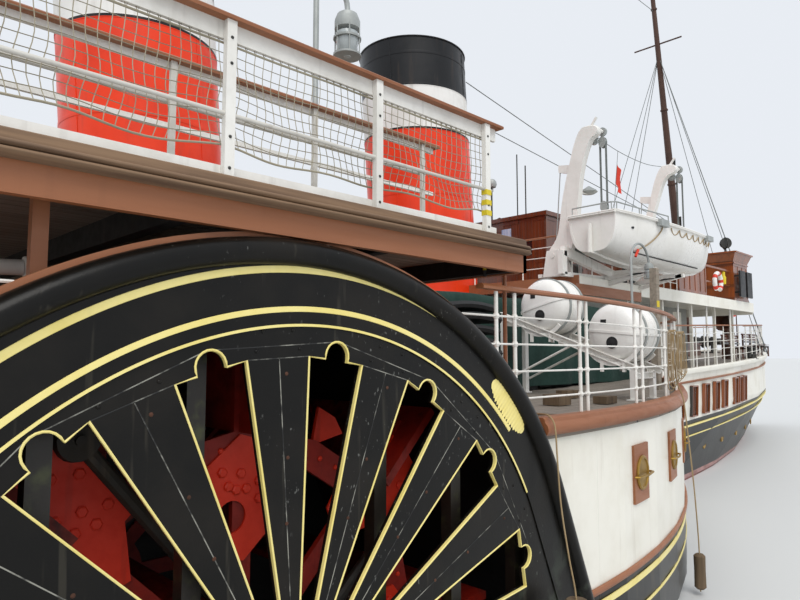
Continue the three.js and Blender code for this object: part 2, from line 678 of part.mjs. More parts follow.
const deckPlan = prismXY(waterline(DECK_LEVEL, DECK_OVERHANG), 0, 8000);
const sponsonPlans = [1, -1].map((end) => prismXY(sponsonOutline(end, -40), 0, 8000));
const boxGap = 3 * GAP;
const boxCut = prismXZ(boxOutline(RIM_RADIUS + boxGap, -1000), CASING_IN_Y - boxGap, 9500);
const sideDeck = joined(sponsonPlans).subtract(boxCut);
const fullPlan = joined([deckPlan, sideDeck, solid(mirrored(geometryOf(sideDeck)))]);
const boxCutStarboard = solid(mirrored(geometryOf(boxCut)));
const deck = fullPlan.intersect(sheerBand(-DECK_THICK, 0)).subtract(well).subtract(boxCut).subtract(boxCutStarboard);
place('promenade_deck', geometryOf(deck), 'deck');

// Sponsons and paddle boxes on both sides
const sponsonFore = geometryOf(sponson(1));
const sponsonAft = geometryOf(sponson(-1));
const faceGeometry = geometryOf(boxFace());
const casingGeometry = geometryOf(boxCasing());
SIDES.forEach(([side, word]) => {
  place(`sponson_forward_${word}`, onSide(sponsonFore, side), 'white');
  place(`sponson_aft_${word}`, onSide(sponsonAft, side), 'white');
  place(`paddle_box_face_${word}`, onSide(faceGeometry, side), 'black');
  place(`paddle_box_casing_${word}`, onSide(casingGeometry, side), 'brown');
});

// Paddle shaft with a wheel at each end, all on one axis
const wheels = new THREE.Group();
wheels.position.set(0, 0, SHAFT_Z);
ship.add(wheels);
place('paddle_shaft', geometryOf(cylinderY(SHAFT_RADIUS, -8480, 8480, 0, 0, SHAFT_SIDES)), 'steel', wheels);
const wheelGeometry = geometryOf(wheel());
SIDES.forEach(([side, word]) => place(`paddle_wheel_${word}`, onSide(wheelGeometry, side), 'wheelRed', wheels));

// Engine as one block in its open well
place('engine', geometryOf(block(700, 6300, -1500, 1500, WELL.floor + GAP, 1900)), 'iron');

// Casing over the engine and boilers, its roof and the funnels
const deckSpace = sheerBand(-9000, GAP);
const casingWindows = sideWindows(CASING.half, [-1500, 4250, 5550, 6850], 570, 3750, 4420);
const casingWalls = house(CASING, 2800, [...casingWindows, ...doorways('casing_door')]).subtract(deckSpace);
place('engine_casing', geometryOf(casingWalls), 'white');
const roofBase = CASING.top + GAP;
const roofPlan = block(CASING.x0 - 100, CASING.x1 + 100, -CASING.half, CASING.half, roofBase, CASING.roof);
place('casing_roof', geometryOf(roofPlan), 'deck');
const funnelGeometry = funnel();
FUNNELS.forEach(([name, x]) => {
  place(name, funnelGeometry.clone(), 'red').position.set(x, 0, CASING.roof + GAP);
});

// Landing decks over the boxes, on posts, with their rails
function landingDeck() {
  const { half, y, bottom, top, beam } = LANDING;
  const slab = block(-half, half, CASING.half + GAP, y, bottom, top);
  const nosing = block(-half - 40, half + 40, y - 100, y + 30, bottom - 70, bottom + 60);
  const edge = block(-half + 60, half - 60, y - 180, y - 40, beam, bottom + 20);
  const beams = [-half + 60, -850, 750, half - 160].map((x) => (
    block(x, x + 100, CASING.half + 200, y - 100, beam, bottom + 20)
  ));
  const posts = [-1, 1].flatMap((end) => [8360, 5200].map((py) => {
    const x = end * (half - 250);
    return block(x - 55, x + 55, py - 55, py + 55, RIM_Z, bottom + 20);
  }));
  const crown = prismXZ(boxOutline(CASING_RADIUS + GAP), 4000, 9000);
  return joined([slab, nosing, edge, ...beams, ...joined(posts).subtract(crown).decompose()]);
}
const landingGeometry = geometryOf(landingDeck());
const landingPosts = spread(1850, -1850, 4);
const landingRail = railing([
  ...landingPosts.map((x) => [x, 8640]),
  ...landingPosts.reverse().map((x) => [x, 7900]),
], () => LANDING.top + GAP, RAIL.landing);
SIDES.forEach(([side, word]) => {
  place(`landing_deck_${word}`, onSide(landingGeometry, side), 'brown');
  place(`landing_rail_${word}`, onSide(landingRail, side), 'white');
});

// Houses on the promenade deck, the boat deck above, and the cabins and bridge on it
const foreWindows = sideWindows(FORE_HOUSE.half, spread(14000, 19200, 6), 660, 3970, 4840);
const foreEnds = endWindows(FORE_HOUSE.x1, [-1700, 0, 1700], 850, 4150, 4900);
const foreOpenings = [...foreWindows, ...foreEnds, ...doorways('forward_house_door')];
const foreWalls = house(FORE_HOUSE, 2900, foreOpenings).subtract(deckSpace);
place('forward_house', geometryOf(foreWalls), 'white');

function boatDeck() {
  const { x0, x1, half, bottom, top } = BOAT_DECK;
  const slab = block(x0, x1, -half, half, bottom, top);
  const fascia = SIDES.map(([side]) => {
    const [a, b] = [side * (half - 60), side * half].sort((p, q) => p - q);
    return block(x0, x1, a, b, bottom - 120, bottom + 20);
  });
  const posts = spread(11200, 21900, 6).flatMap((x) => SIDES.map(([side]) => {
    const y = side * (halfBreadth(x, DECK_LEVEL) - 230);
    return block(x - 40, x + 40, y - 40, y + 40, deckZ(x + 40) + GAP, bottom + 20);
  }));
  const funnelLine = FUNNELS[1][1] - (bottom - CASING.roof) * Math.tan(FUNNEL_RAKE * RADIANS);
  const funnelHole = cylinderZ(FUNNEL_RADIUS + 120, bottom - 500, top + 500, funnelLine, 0, 32);
  return joined([slab, ...fascia, ...posts]).subtract(funnelHole);
}
place('boat_deck', geometryOf(boatDeck()), 'white');

const upperFloor = BOAT_DECK.top + GAP;
const cabinWindows = [
  ...sideWindows(CABIN.half, [14200, 15300], 480, 6500, 7050),
  ...endWindows(CABIN.x0, [-1350, 1350], 420, 6550, 7000),
];
place('deck_cabin', geometryOf(house(CABIN, upperFloor, [...cabinWindows, ...doorways('cabin_door')])), 'varnish');
place('deck_cabin_roof', geometryOf(roofOf(CABIN, 80)), 'varnish');

const bridgeWindows = [
  ...endWindows(BRIDGE.x1, spread(-2000, 2000, 5), 800, 6620, 7350),
  ...endWindows(BRIDGE.x0, [-1700, 0, 1700], 800, 6620, 7350),
];
const bridgeOpenings = [...bridgeWindows, ...doorways('wheelhouse_door')];
place('wheelhouse', geometryOf(house(BRIDGE, upperFloor, bridgeOpenings)), 'varnish');
place('wheelhouse_roof', geometryOf(roofOf(BRIDGE, 100)), 'varnish');

function roofOf({ x0, x1, half, top }, overhang) {
  return block(x0 - overhang, x1 + overhang, -half - overhang, half + overhang, top + GAP, top + ROOF_THICK);
}

// Open wing of the bridge: solid sides with a flared coaming, and a way in beside the wheelhouse.
function bridgeWing() {
  const { x0, x1, top, lip, flare, out } = WING;
  const inY = WING.in;
  const outside = block(x0, x1, inY, out, upperFloor, top);
  const inside = block(x0 + WALL, x1 - WALL, inY - 500, out - WALL, upperFloor - 500, top + 500);
  const corners = (grow, z) => [
    [x0 - grow, inY, z],
    [x1 + grow, inY, z],
    [x1 + grow, out + grow, z],
    [x0 - grow, out + grow, z],
  ];
  const flared = solid(lofted([corners(0, top - 1), corners(flare, lip)]));
  const hollow = solid(lofted([corners(-WALL, top - 2), corners(flare - WALL, lip + 1)]));
  const clear = block(x0, x1, inY - 200, inY + WALL, upperFloor - 100, lip + 100);
  return outside.subtract(inside).add(flared.subtract(hollow)).subtract(clear);
}
const wingGeometry = geometryOf(bridgeWing());
SIDES.forEach(([side, word]) => place(`bridge_wing_${word}`, onSide(wingGeometry, side), 'varnish'));

const aftWindows = sideWindows(AFT_HOUSE.half, spread(-15400, -9800, 5), 720, 3850, 4600);
const aftOpenings = [...aftWindows, ...doorways('aft_house_door')];
place('aft_house', geometryOf(house(AFT_HOUSE, 2800, aftOpenings).subtract(deckSpace)), 'white');
place('aft_house_roof', geometryOf(roofOf(AFT_HOUSE, 80)), 'white');

MASTS.forEach(([name, x, footRadius, topRadius, top, rake]) => {
  const foot = deckZ(x);
  place(name, mast(x, foot, footRadius, topRadius, top - foot, rake), 'spar').position.set(x, 0, foot);
});

// Rails round the promenade deck and along the sponsons
function sponsonRun(end, side) {
  return spread(3000, 13000, 6).map((x) => {
    const share = Math.max(0, (x - SPONSON_FULL) / (SPONSON_TIP - SPONSON_FULL));
    return [end * x, side * (sponsonY(share) - 60)];
  });
}

function deckRail(end, x1, count, tipX) {
  const sides = [PORT, STARBOARD].map((side) => [
    ...sponsonRun(end, side),
    ...sideRun(end * 14000, x1, count, side),
  ]);
  return railing([...sides[0], [tipX, 0], ...sides[1].reverse()], (x) => deckZ(x) + GAP, RAIL.deck);
}
place('rail_forward', deckRail(1, 35100, 9, 35700), 'white');
place('rail_aft', deckRail(-1, -36000, 8, -37000), 'white');

// Raft canisters on a sloping rack, on both forward sponsons
function raftRack() {
  const canisters = [[6070, 4480], [7330, 4010]]; // y, z of each axis
  const middle = 7050;
  const shell = [[0, -520], [260, -485], [405, -350], [450, -170], [450, 170], [405, 350], [260, 485], [0, 520]];
  const barrel = new THREE.LatheGeometry(shell.map(([r, along]) => new THREE.Vector2(r, along)), 14);
  const pieces = canisters.map(([y, z]) => solid(barrel.clone().rotateZ(-Math.PI / 2).translate(middle, y, z)));
  const slope = [[5250, 4310], [7780, 3370], [7780, 3480], [5250, 4420]]; // y, z of the sloping skids
  [middle - 370, middle + 270].forEach((x) => {
    pieces.push(prismYZ(slope, x, x + 100));
    canisters.forEach(([y, z]) => pieces.push(block(x, x + 100, y - 110, y + 110, z - 640, z - 330)));
    pieces.push(block(x, x + 100, 5270, 5370, deckZ(x) + GAP, 4370));
    pieces.push(block(x, x + 100, 7600, 7700, deckZ(x) + GAP, 3480));
  });
  pieces.push(block(middle - 350, middle + 350, 5270, 5370, 4180, 4300));
  pieces.push(block(middle - 350, middle + 350, 7600, 7700, 3300, 3420));
  return joined(pieces);
}
const rackGeometry = geometryOf(raftRack());
SIDES.forEach(([side, word]) => place(`raft_rack_${word}`, onSide(rackGeometry, side), 'white'));

// Cowl ventilators before the forward house, with their mouths turned aft
function ventilator() {
  const { x, y, trunk, mouth, length, top } = COWL;
  const axis = top - mouth;
  const cone = (grow) => {
    const geometry = new THREE.CylinderGeometry(mouth + grow, trunk + grow, length, 16);
    return solid(geometry.rotateZ(Math.PI / 2).translate(x - length / 2, y, axis));
  };
  const bend = cylinderX(trunk, x - 40, x + trunk, y, axis, 16);
  const stem = cylinderZ(trunk, deckZ(x) - 200, axis, x, y, 16);
  const deckBelow = sheerBand(-9000, GAP);
  const throat = cone(-COWL.wall).subtract(block(x - 60, x + 1000, y - 1000, y + 1000, 0, 9000));
  return joined([cone(0), bend, stem]).subtract(throat).subtract(deckBelow);
}
const ventilatorGeometry = geometryOf(ventilator());
SIDES.forEach(([side, word]) => place(`ventilator_${word}`, onSide(ventilatorGeometry, side), 'spar'));

// Davits with their boats
const armGeometry = geometryOf(davitArm());
const frameGeometry = geometryOf(davitFrame());
const boatGeometry = geometryOf(lifeboat());
SIDES.forEach(([side, word]) => {
  place(`davit_frame_${word}`, onSide(frameGeometry, side), 'white');
  DAVIT_X.forEach((x, i) => {
    const arm = place(`davit_${['aft', 'forward'][i]}_${word}`, onSide(armGeometry, side), 'white');
    arm.position.set(x, side * DAVIT_PIVOT.y, DAVIT_PIVOT.z);
  });
  place(`lifeboat_${word}`, onSide(boatGeometry, side), 'white');
});

// Rudder with its stock
function rudder() {
  const blade = prismXZ([[0, -1850], [0, -520], [-1500, -520], [-1650, -1500], [-1500, -1850]], -50, 50);
  const stock = cylinderZ(rudderAxis.radius, -1850, 700, 0, 0, 24);
  return blade.add(stock);
}
place('rudder', geometryOf(rudder()), 'black').position.set(rudderAxis.x, 0, 0);

// Hinged doors, each about the outer corner of its own edge: x runs along the leaf and y through it.
function door(width, sill, head, inward) {
  const [y0, y1] = [0, inward * WALL].sort((p, q) => p - q);
  return geometryOf(block(0, width - DOOR_GAP - GAP, y0, y1, 0, head - sill - 2 * DOOR_GAP));
}
SIDES.forEach(([side, word]) => {
  DOORWAYS.forEach(([name, x, half, width, z0, z1, finish]) => {
    const leaf = place(`${name}_${word}`, door(width, z0, z1, -side), finish);
    leaf.position.set(x - width / 2 + GAP, side * half, z0 + DOOR_GAP);
  });
});
END_DOORWAYS.forEach(([name, x, width, z0, z1, finish]) => {
  const leaf = place(name, door(width, z0, z1, -1), finish);
  leaf.position.set(x, -width / 2 + GAP, z0 + DOOR_GAP);
  leaf.rotation.z = Math.PI / 2;
});

ship.scale.setScalar(MODEL_SCALE);

export default ship;
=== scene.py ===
# %% [markdown]
# A paddle steamer is dressed here, piece by piece, over the plain solids of its model.
# The ship is a half-scale model, and every size below is a full-size one in metres, so that a
# deck rail reads as 1.29 m. One function halves the numbers when a mesh is made.

# %% Load the frame
import json
import math

import bmesh
import bpy
import numpy as np
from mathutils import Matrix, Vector
from mathutils.geometry import tessellate_polygon

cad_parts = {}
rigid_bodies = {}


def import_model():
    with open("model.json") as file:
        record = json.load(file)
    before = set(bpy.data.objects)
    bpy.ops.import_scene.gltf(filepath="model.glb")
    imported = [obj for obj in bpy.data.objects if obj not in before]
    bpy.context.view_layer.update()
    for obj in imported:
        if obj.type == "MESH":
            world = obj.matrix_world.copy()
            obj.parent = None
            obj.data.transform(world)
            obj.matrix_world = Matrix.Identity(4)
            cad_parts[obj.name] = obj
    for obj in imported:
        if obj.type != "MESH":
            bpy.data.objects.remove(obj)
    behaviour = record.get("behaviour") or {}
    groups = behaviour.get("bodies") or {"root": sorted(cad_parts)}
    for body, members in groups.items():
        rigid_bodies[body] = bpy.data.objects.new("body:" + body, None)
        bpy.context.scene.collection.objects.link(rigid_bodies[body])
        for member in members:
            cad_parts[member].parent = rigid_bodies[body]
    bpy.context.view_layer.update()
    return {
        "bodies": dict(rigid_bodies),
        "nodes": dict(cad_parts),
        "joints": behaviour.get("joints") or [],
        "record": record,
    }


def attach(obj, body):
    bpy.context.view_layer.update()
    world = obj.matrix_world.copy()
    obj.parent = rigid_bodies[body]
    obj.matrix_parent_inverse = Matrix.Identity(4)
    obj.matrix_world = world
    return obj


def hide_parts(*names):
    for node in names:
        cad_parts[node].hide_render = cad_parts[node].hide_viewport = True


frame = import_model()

SCALE = 0.5
nodes = frame["nodes"]

# %% [markdown]
# The camera stands close beside the starboard paddle box, turned towards the bow and tilted a
# little upwards. Its lens is a moderate wide angle, so near timbers look large.

# %% Camera
VIEW_PLACE = (-2.4585, -12.03, 3.66)
VIEW_TURN = 44.7
VIEW_TILT = 4.9
VIEW_LENS = 28.98
camera_data = bpy.data.cameras.new("camera")
camera_data.lens = VIEW_LENS
camera_data.sensor_width = 36.0
camera_data.clip_end = 500.0
camera = bpy.data.objects.new("camera", camera_data)
camera.location = [SCALE * v for v in VIEW_PLACE]
camera.rotation_euler = (math.radians(90 + VIEW_TILT), 0, math.radians(-VIEW_TURN))
bpy.context.scene.collection.objects.link(camera)
bpy.context.scene.camera = camera

# %% [markdown]
# The ship floats, so the floor lies at the waterline. The light is that of a bright overcast day:
# a pale dome all round, and one broad sun with soft edges that gives the forms a lit side.

# %% Floor and light
FLOOR_REACH = 400.0
floor_mesh = bpy.data.meshes.new("floor")
floor_corners = [(FLOOR_REACH * x, FLOOR_REACH * y, 0) for x, y in ((-1, -1), (1, -1), (1, 1), (-1, 1))]
floor_mesh.from_pydata(floor_corners, [], [(0, 1, 2, 3)])
floor = bpy.data.objects.new("floor", floor_mesh)
bpy.context.scene.collection.objects.link(floor)
floor_finish = bpy.data.materials.new("floor_finish")
floor_finish.use_nodes = True
floor_surface = floor_finish.node_tree.nodes["Principled BSDF"].inputs
floor_surface["Base Color"].default_value = (0.62, 0.63, 0.63, 1)
floor_surface["Roughness"].default_value = 0.8
floor_mesh.materials.append(floor_finish)

world = bpy.data.worlds.new("sky")
world.use_nodes = True
background = world.node_tree.nodes["Background"].inputs
background["Color"].default_value = (0.90, 0.94, 1.0, 1)
background["Strength"].default_value = 0.9
bpy.context.scene.world = world
bpy.context.scene.view_settings.view_transform = "Standard"
sun_data = bpy.data.lights.new("sun", "SUN")
sun_data.energy = 1.7
sun_data.angle = math.radians(40)
sun_data.color = (1.0, 0.97, 0.92)
sun = bpy.data.objects.new("sun", sun_data)
sun.rotation_euler = (math.radians(38), math.radians(-12), math.radians(-20))
bpy.context.scene.collection.objects.link(sun)

# %% [markdown]
# Shader maths reads best as Python. A Wire wraps one socket, and its operators add Math nodes.
# A Shader is one material being made: node() adds any other node from its type, its settings and
# the values or wires of its inputs. Patterns read Object coordinates in full-size metres.

# %% Shader maths as Python
def operator(operation, swapped=False):
    """A method that takes a wire and another value through one Math node."""
    def method(wire, other):
        first, second = (other, wire) if swapped else (wire, other)
        return wire.math(operation, first, second)

    return method


class Wire:
    """A number, colour or vector on its way through the nodes of one material."""

    __add__ = __radd__ = operator("ADD")
    __mul__ = __rmul__ = operator("MULTIPLY")
    __sub__, __rsub__ = operator("SUBTRACT"), operator("SUBTRACT", swapped=True)
    __truediv__, __pow__ = operator("DIVIDE"), operator("POWER")
    __gt__, __lt__ = operator("GREATER_THAN"), operator("LESS_THAN")

    def __init__(self, shader, socket):
        self.shader = shader
        self.socket = socket

    def math(self, operation, *values):
        return self.shader.node("Math", {"operation": operation}, dict(enumerate(values)))

    def abs(self):
        return self.math("ABSOLUTE", self)

    def fraction(self):
        return self.math("FRACT", self)

    def floor(self):
        return self.math("FLOOR", self)

    def ramp(self, low, high):
        """0 below low and 1 above high, with a smooth rise between them; high may lie below low."""
        settings = {"interpolation_type": "SMOOTHSTEP"}
        return self.shader.node("MapRange", settings, {"Value": self, "From Min": low, "From Max": high})


def linear(colour):
    """A colour given as six hex digits, in linear light."""
    parts = [int(colour[i:i + 2], 16) / 255 for i in (0, 2, 4)]
    return tuple(p / 12.92 if p <= 0.04045 else ((p + 0.055) / 1.055) ** 2.4 for p in parts) + (1,)


class Shader:
    """One material being made. Its place, x, y and z are Object coordinates in full-size metres."""

    def __init__(self, name, roughness=0.5, metallic=0.0, coat=0.0, gloss=0.5):
        self.material = bpy.data.materials.new(name)
        self.material.use_nodes = True
        self.tree = self.material.node_tree
        self.surface = self.tree.nodes["Principled BSDF"]
        self.set("Roughness", roughness)
        self.set("Metallic", metallic)
        self.set("Coat Weight", coat)
        self.set("Specular IOR Level", gloss)
        coordinates = self.tree.nodes.new("ShaderNodeTexCoord")
        local = Wire(self, coordinates.outputs["Object"])
        self.place = self.scaled(local, (1 / SCALE,) * 3)
        split = self.tree.nodes.new("ShaderNodeSeparateXYZ")
        self.tree.links.new(self.place.socket, split.inputs[0])
        self.x, self.y, self.z = (Wire(self, out) for out in split.outputs)

    def plug(self, value, socket):
        if isinstance(value, Wire):
            self.tree.links.new(value.socket, socket)
        else:
            socket.default_value = linear(value) if isinstance(value, str) else value

    def node(self, kind, settings=None, inputs=None, output=0):
        made = self.tree.nodes.new("ShaderNode" + kind)
        for key, value in (settings or {}).items():
            setattr(made, key, value)
        for key, value in (inputs or {}).items():
            self.plug(value, made.inputs[key])
        return Wire(self, made.outputs[output])

    def set(self, name, value):
        self.plug(value, self.surface.inputs[name])
        return self

    def scaled(self, vector, factors):
        return self.node("VectorMath", {"operation": "MULTIPLY"}, {0: vector, 1: factors})

    def noise(self, scale, detail=4.0, stretch=(1, 1, 1), roughness=0.55):
        """Noise whose features are about 1 / scale metres across, or longer where stretch is below 1."""
        vector = self.scaled(self.place, stretch)
        inputs = {"Vector": vector, "Scale": scale, "Detail": detail, "Roughness": roughness}
        return self.node("TexNoise", {}, inputs)

    def mix(self, mask, first, second):
        """The first colour where the mask is 0 and the second where it is 1; six hex digits or wires."""
        made = self.tree.nodes.new("ShaderNodeMix")
        made.data_type = "RGBA"
        for key, value in ((0, mask), (6, first), (7, second)):
            self.plug(value, made.inputs[key])
        return Wire(self, made.outputs[2])

    def bump(self, height, depth):
        """A Bump node whose height, from 0 to 1, stands for a depth in full-size metres."""
        inputs = {"Height": height, "Distance": depth * SCALE, "Strength": 1.0}
        return self.set("Normal", self.node("Bump", {}, inputs))

    def colour(self, value):
        return self.set("Base Color", value)


print("shader helpers ready")

# %% [markdown]
# Each finish starts from the real material: what it is made of, then how weather and hands have
# changed it. Ship's paint is brushed on in many coats: it has slow waves, faint brush marks, patches
# that salt has dulled, and thin streaks of dirt that rain draws down from every edge.

# %% Painted steel and painted wood
def weathered(name, base, worn, roughness=0.4, streak=0.35, grain=(1, 1, 1), coat=0.0, dirt="6b5b48",
              bump=0.003, metallic=0.0, gloss=0.5):
    """Paint with patches of a second tone, streaks of dirt that run down, and a fine orange peel."""
    s = Shader(name, roughness, metallic, coat, gloss)
    patches = s.noise(1.3, 5, grain).ramp(0.42, 0.68)
    fine = s.noise(14, 4, grain).ramp(0.35, 0.75)
    toned = s.mix(patches * 0.6 + fine * 0.25, base, worn)
    streaks = s.noise(9, 3, (1, 1, 0.08)).ramp(0.58, 0.78)
    s.colour(s.mix(streaks * streak, toned, dirt))
    s.set("Roughness", patches * 0.18 + (fine * 0.12 + roughness))
    s.bump(s.noise(60, 2) * 0.3 + s.noise(3.0, 2) * 0.7, bump)
    return s.material


print("paints mix patches, fine tone, streaks and a low relief")

# %% [markdown]
# Timber shows its grain as long thin streaks along the board. Laid decks are boards about 130 mm
# wide with dark seams between them; varnish is a clear coat over warm, streaked wood.

# %% Timber
def board_seams(across, pitch, seam):
    """1 in the dark seam between boards of one pitch, measured across them."""
    inside = ((across / pitch).fraction() - 0.5).abs()
    return inside.ramp(0.5 - seam / pitch, 0.5)


def timber(name, base, worn, grain=(0.06, 1, 1), pitch=0.0, roughness=0.75, coat=0.0, across="y"):
    """Streaks of a darker tone along the grain, with seams between boards where a pitch is given."""
    s = Shader(name, roughness, coat=coat)
    stripes = s.noise(22, 5, grain).ramp(0.3, 0.75)
    broad = s.noise(2.2, 4, grain).ramp(0.35, 0.7)
    toned = s.mix(stripes * 0.55 + broad * 0.35, base, worn)
    relief = stripes * 0.4
    if pitch:
        axis = getattr(s, across)
        board = s.node("TexWhiteNoise", {"noise_dimensions": "1D"}, {"W": (axis / pitch).floor()}, 0)
        toned = s.mix(board * 0.35, toned, worn)
        seams = board_seams(axis, pitch, 0.006)
        toned = s.mix(seams, toned, "1c1a18")
        relief = relief - seams
    s.colour(toned)
    s.bump(relief, 0.004)
    return s.material


print("timber runs its grain along the longest side of a board")

# %% The list of finishes
PAINTS = {  # a slot of colour with its finishes: base, worn, roughness, streaks and what is special
    "topside_white": {
        "white": ("ebe8dd", "dedacd", 0.3, 0.16, {}),
        # house: a grey that is painted shade, standing for the shadow under the deck over the forward house
        "house": ("9b9c97", "83857f", 0.4, 0.2, {}),
    },
    "rail_white": {
        "white_wood": ("e9e7e1", "cfccc4", 0.4, 0.25, {}),
        "bar_grey": ("cfccc4", "aaa69c", 0.5, 0.5, {"grain": (0.3, 1, 1), "dirt": "85796a"}),
        "rope": ("a58f6c", "8c7656", 0.85, 0.1, {}),
        "net": ("a29a86", "827b69", 0.8, 0.1, {}),
    },
    "davit_white": {"davit": ("eceae5", "dcd9d2", 0.3, 0.2, {})},
    "boat_white": {"boat": ("edebe6", "e0ded7", 0.25, 0.12, {})},
    "raft_white": {"raft": ("eeede9", "e2e0da", 0.25, 0.08, {})},
    "box_black": {
        "black": ("0d0e0e", "151616", 0.3, 0.1, {"dirt": "44423c", "gloss": 0.3}),
        "gold": ("f3e393", "e6d273", 0.3, 0.08, {}),
        "dark": ("191817", "0f0e0d", 0.7, 0.1, {}),
        "rubber": ("1b1b1c", "262627", 0.6, 0.1, {"dirt": "4a4a48"}),
        "screen": ("101214", "181b1e", 0.4, 0.05, {}),
        "rust": ("4f2d1a", "2c1a10", 0.7, 0.6, {}),
    },
    "hull_black": {"hull_black": ("101112", "181a1a", 0.35, 0.14, {"dirt": "4d4b45", "gloss": 0.3})},
    "brown_paint": {
        "brown": ("975f3c", "7e4c2f", 0.4, 0.2, {"grain": (0.15, 1, 1), "dirt": "54301c"}),
        "fascia": ("9a613e", "86502f", 0.4, 0.15, {"grain": (0.1, 1, 1), "dirt": "5e3722"}),
        "yellow": ("d9c21c", "c7ae14", 0.45, 0.1, {}),
    },
    "funnel_red": {
        "red": ("ee4a26", "e2401c", 0.42, 0.12, {}),
        "buoy_red": ("d63a22", "c23018", 0.5, 0.1, {}),
    },
    "wheel_red": {
        # wheel_red: darker than the plates and streaked near black; partly grime on the wheel, partly
        # painted shade of the box's inside
        "wheel_red": ("941a08", "2d0f09", 0.5, 0.8, {"dirt": "0f0c0a"}),
        "plate_red": ("e0300c", "c42408", 0.45, 0.3, {"dirt": "3a1a10"}),
    },
    "bright_steel": {
        "steel": ("4b4a48", "2c2b2a", 0.4, 0.3, {"metallic": 0.6}),
        "brass": ("a8853a", "7d6330", 0.3, 0.2, {"metallic": 0.7}),
        "galvanised": ("a9adab", "8f9391", 0.45, 0.2, {"metallic": 0.3}),
        "wire": ("6f7472", "50544f", 0.5, 0.1, {}),
        "lamp_glass": ("b9bfbf", "9ea5a6", 0.1, 0.05, {"coat": 0.4, "bump": 0.0005}),
    },
    "engine_iron": {
        "iron": ("33332f", "222220", 0.45, 0.3, {}),
        "tarred": ("1f1a15", "2f261a", 0.55, 0.3, {}),
    },
    "spar_brown": {"spar": ("4a2d1e", "382015", 0.45, 0.2, {})},
    "varnished_wood": {
        "glass": ("1a2022", "12181a", 0.06, 0.0, {"coat": 0.5, "bump": 0.0005}),
        "port_glass": ("93a68e", "6f8470", 0.1, 0.05, {"coat": 0.4, "bump": 0.0005}),
    },
    "deck_planks": {"canvas_green": ("0a3229", "07231d", 0.75, 0.1, {"dirt": "203a30"})},
}
TIMBERS = {  # slot of colour, base, worn, grain, pitch of the boards, roughness, coat and across
    "varnish": ("varnished_wood", "6b3618", "40200d", (1, 1, 0.06), 0.11, 0.3, 0.5),
    "varnish_fore": ("varnished_wood", "984d19", "66340f", (1, 1, 0.06), 0.11, 0.3, 0.5, "x"),
    "deck": ("deck_planks", "938a7f", "6b6157", (0.06, 1, 1), 0.13),
    "grey_wood": ("deck_planks", "9a8f80", "655c50", (0.05, 1, 1)),
    "nosing": ("deck_planks", "8f7358", "48342a", (0.05, 1, 1), 0.0, 0.8),
    "log": ("spar_brown", "6f5c46", "3f3327", (1, 1, 0.08), 0.0, 0.85),
    "curtain": ("topside_white", "6c8fc0", "dde5ee", (1, 1, 0.06), 0.0, 0.8),
}
FINISH = {}
for slot, paints in PAINTS.items():
    for name, (*measures, special) in paints.items():
        FINISH[name] = (weathered(name, *measures, **special), slot)
for name, (slot, *measures) in TIMBERS.items():
    FINISH[name] = (timber(name, *measures), slot)
print("finishes", sorted(FINISH))

# %% [markdown]
# Most fittings of a ship are simple forms repeated many times: rods, bars, turned shapes and
# mouldings. Each helper here works out all of its points at once as numpy arrays, and returns
# them with their faces, so that a piece can be put together from any number of parts.

# %% Grids, sweeps, rods, beams and turned shapes
def grid_faces(rows, columns, wrap=False):
    """Quads between neighbouring points of a grid that is stored row by row; wrap joins the last
    column to the first."""
    i, j = np.meshgrid(np.arange(rows - 1), np.arange(columns if wrap else columns - 1), indexing="ij")
    k = (j + 1) % columns
    corners = (i * columns + j, i * columns + k, (i + 1) * columns + k, (i + 1) * columns + j)
    return np.stack(corners, -1).reshape(-1, 4).tolist()


def tube_faces(rows, columns):
    """The faces of a closed tube of points, ring by ring, with a flat face at each end."""
    ends = [list(range(columns)), list(range((rows - 1) * columns, rows * columns))]
    return grid_faces(rows, columns, True) + ends


def repeated(faces, size, count):
    """The faces of one part of size points, counted on for each of its copies."""
    return [[size * n + k for k in face] for n in range(count) for face in faces]


def together(*parts):
    """Several parts as one: each part's faces count on from the points before it."""
    points, faces, start = [], [], 0
    for part_points, part_faces in parts:
        points.append(np.asarray(part_points, float).reshape(-1, 3))
        faces += [[start + k for k in face] for face in part_faces]
        start += len(points[-1])
    return np.vstack(points), faces


def unit(vectors):
    vectors = np.asarray(vectors, float)
    return vectors / np.linalg.norm(vectors, axis=-1, keepdims=True)


def square_to(along):
    """Two directions square to a unit vector, or to each of several, and to each other."""
    guide = np.where(np.abs(along[..., 2:]) < 0.9, [0.0, 0.0, 1.0], [1.0, 0.0, 0.0])
    side = unit(np.cross(guide, along))
    return side, np.cross(along, side)


def ring(radius, sides=10):
    turn = np.arange(sides) * (2 * math.pi / sides)
    return np.stack([radius * np.cos(turn), radius * np.sin(turn)], 1)


def sweep(path, profile, up=(0, 0, 1), closed=False):
    """A profile carried along a path. Its first number runs along up x tangent, and its second
    along the direction square to that and to the tangent. Open ends are closed with a flat face."""
    path = np.asarray(path, float)
    profile = np.asarray(profile, float)
    if closed:
        tangent = np.roll(path, -1, 0) - np.roll(path, 1, 0)
    else:
        tangent = np.gradient(path, axis=0)
    side = unit(np.cross(np.asarray(up, float), unit(tangent)))
    rise = np.cross(unit(tangent), side)
    rows, columns = len(path), len(profile)
    points = path[:, None] + profile[:, :1] * side[:, None] + profile[:, 1:] * rise[:, None]
    if closed:
        points = np.concatenate([points, points[:1]])
        faces = grid_faces(rows + 1, columns, True)
        faces = [[k % (rows * columns) for k in face] for face in faces]
        return points[:rows].reshape(-1, 3), faces
    return points.reshape(-1, 3), tube_faces(rows, columns)


def tube(path, radius, sides=8, up=(0, 0, 1)):
    return sweep(path, ring(radius, sides), up)


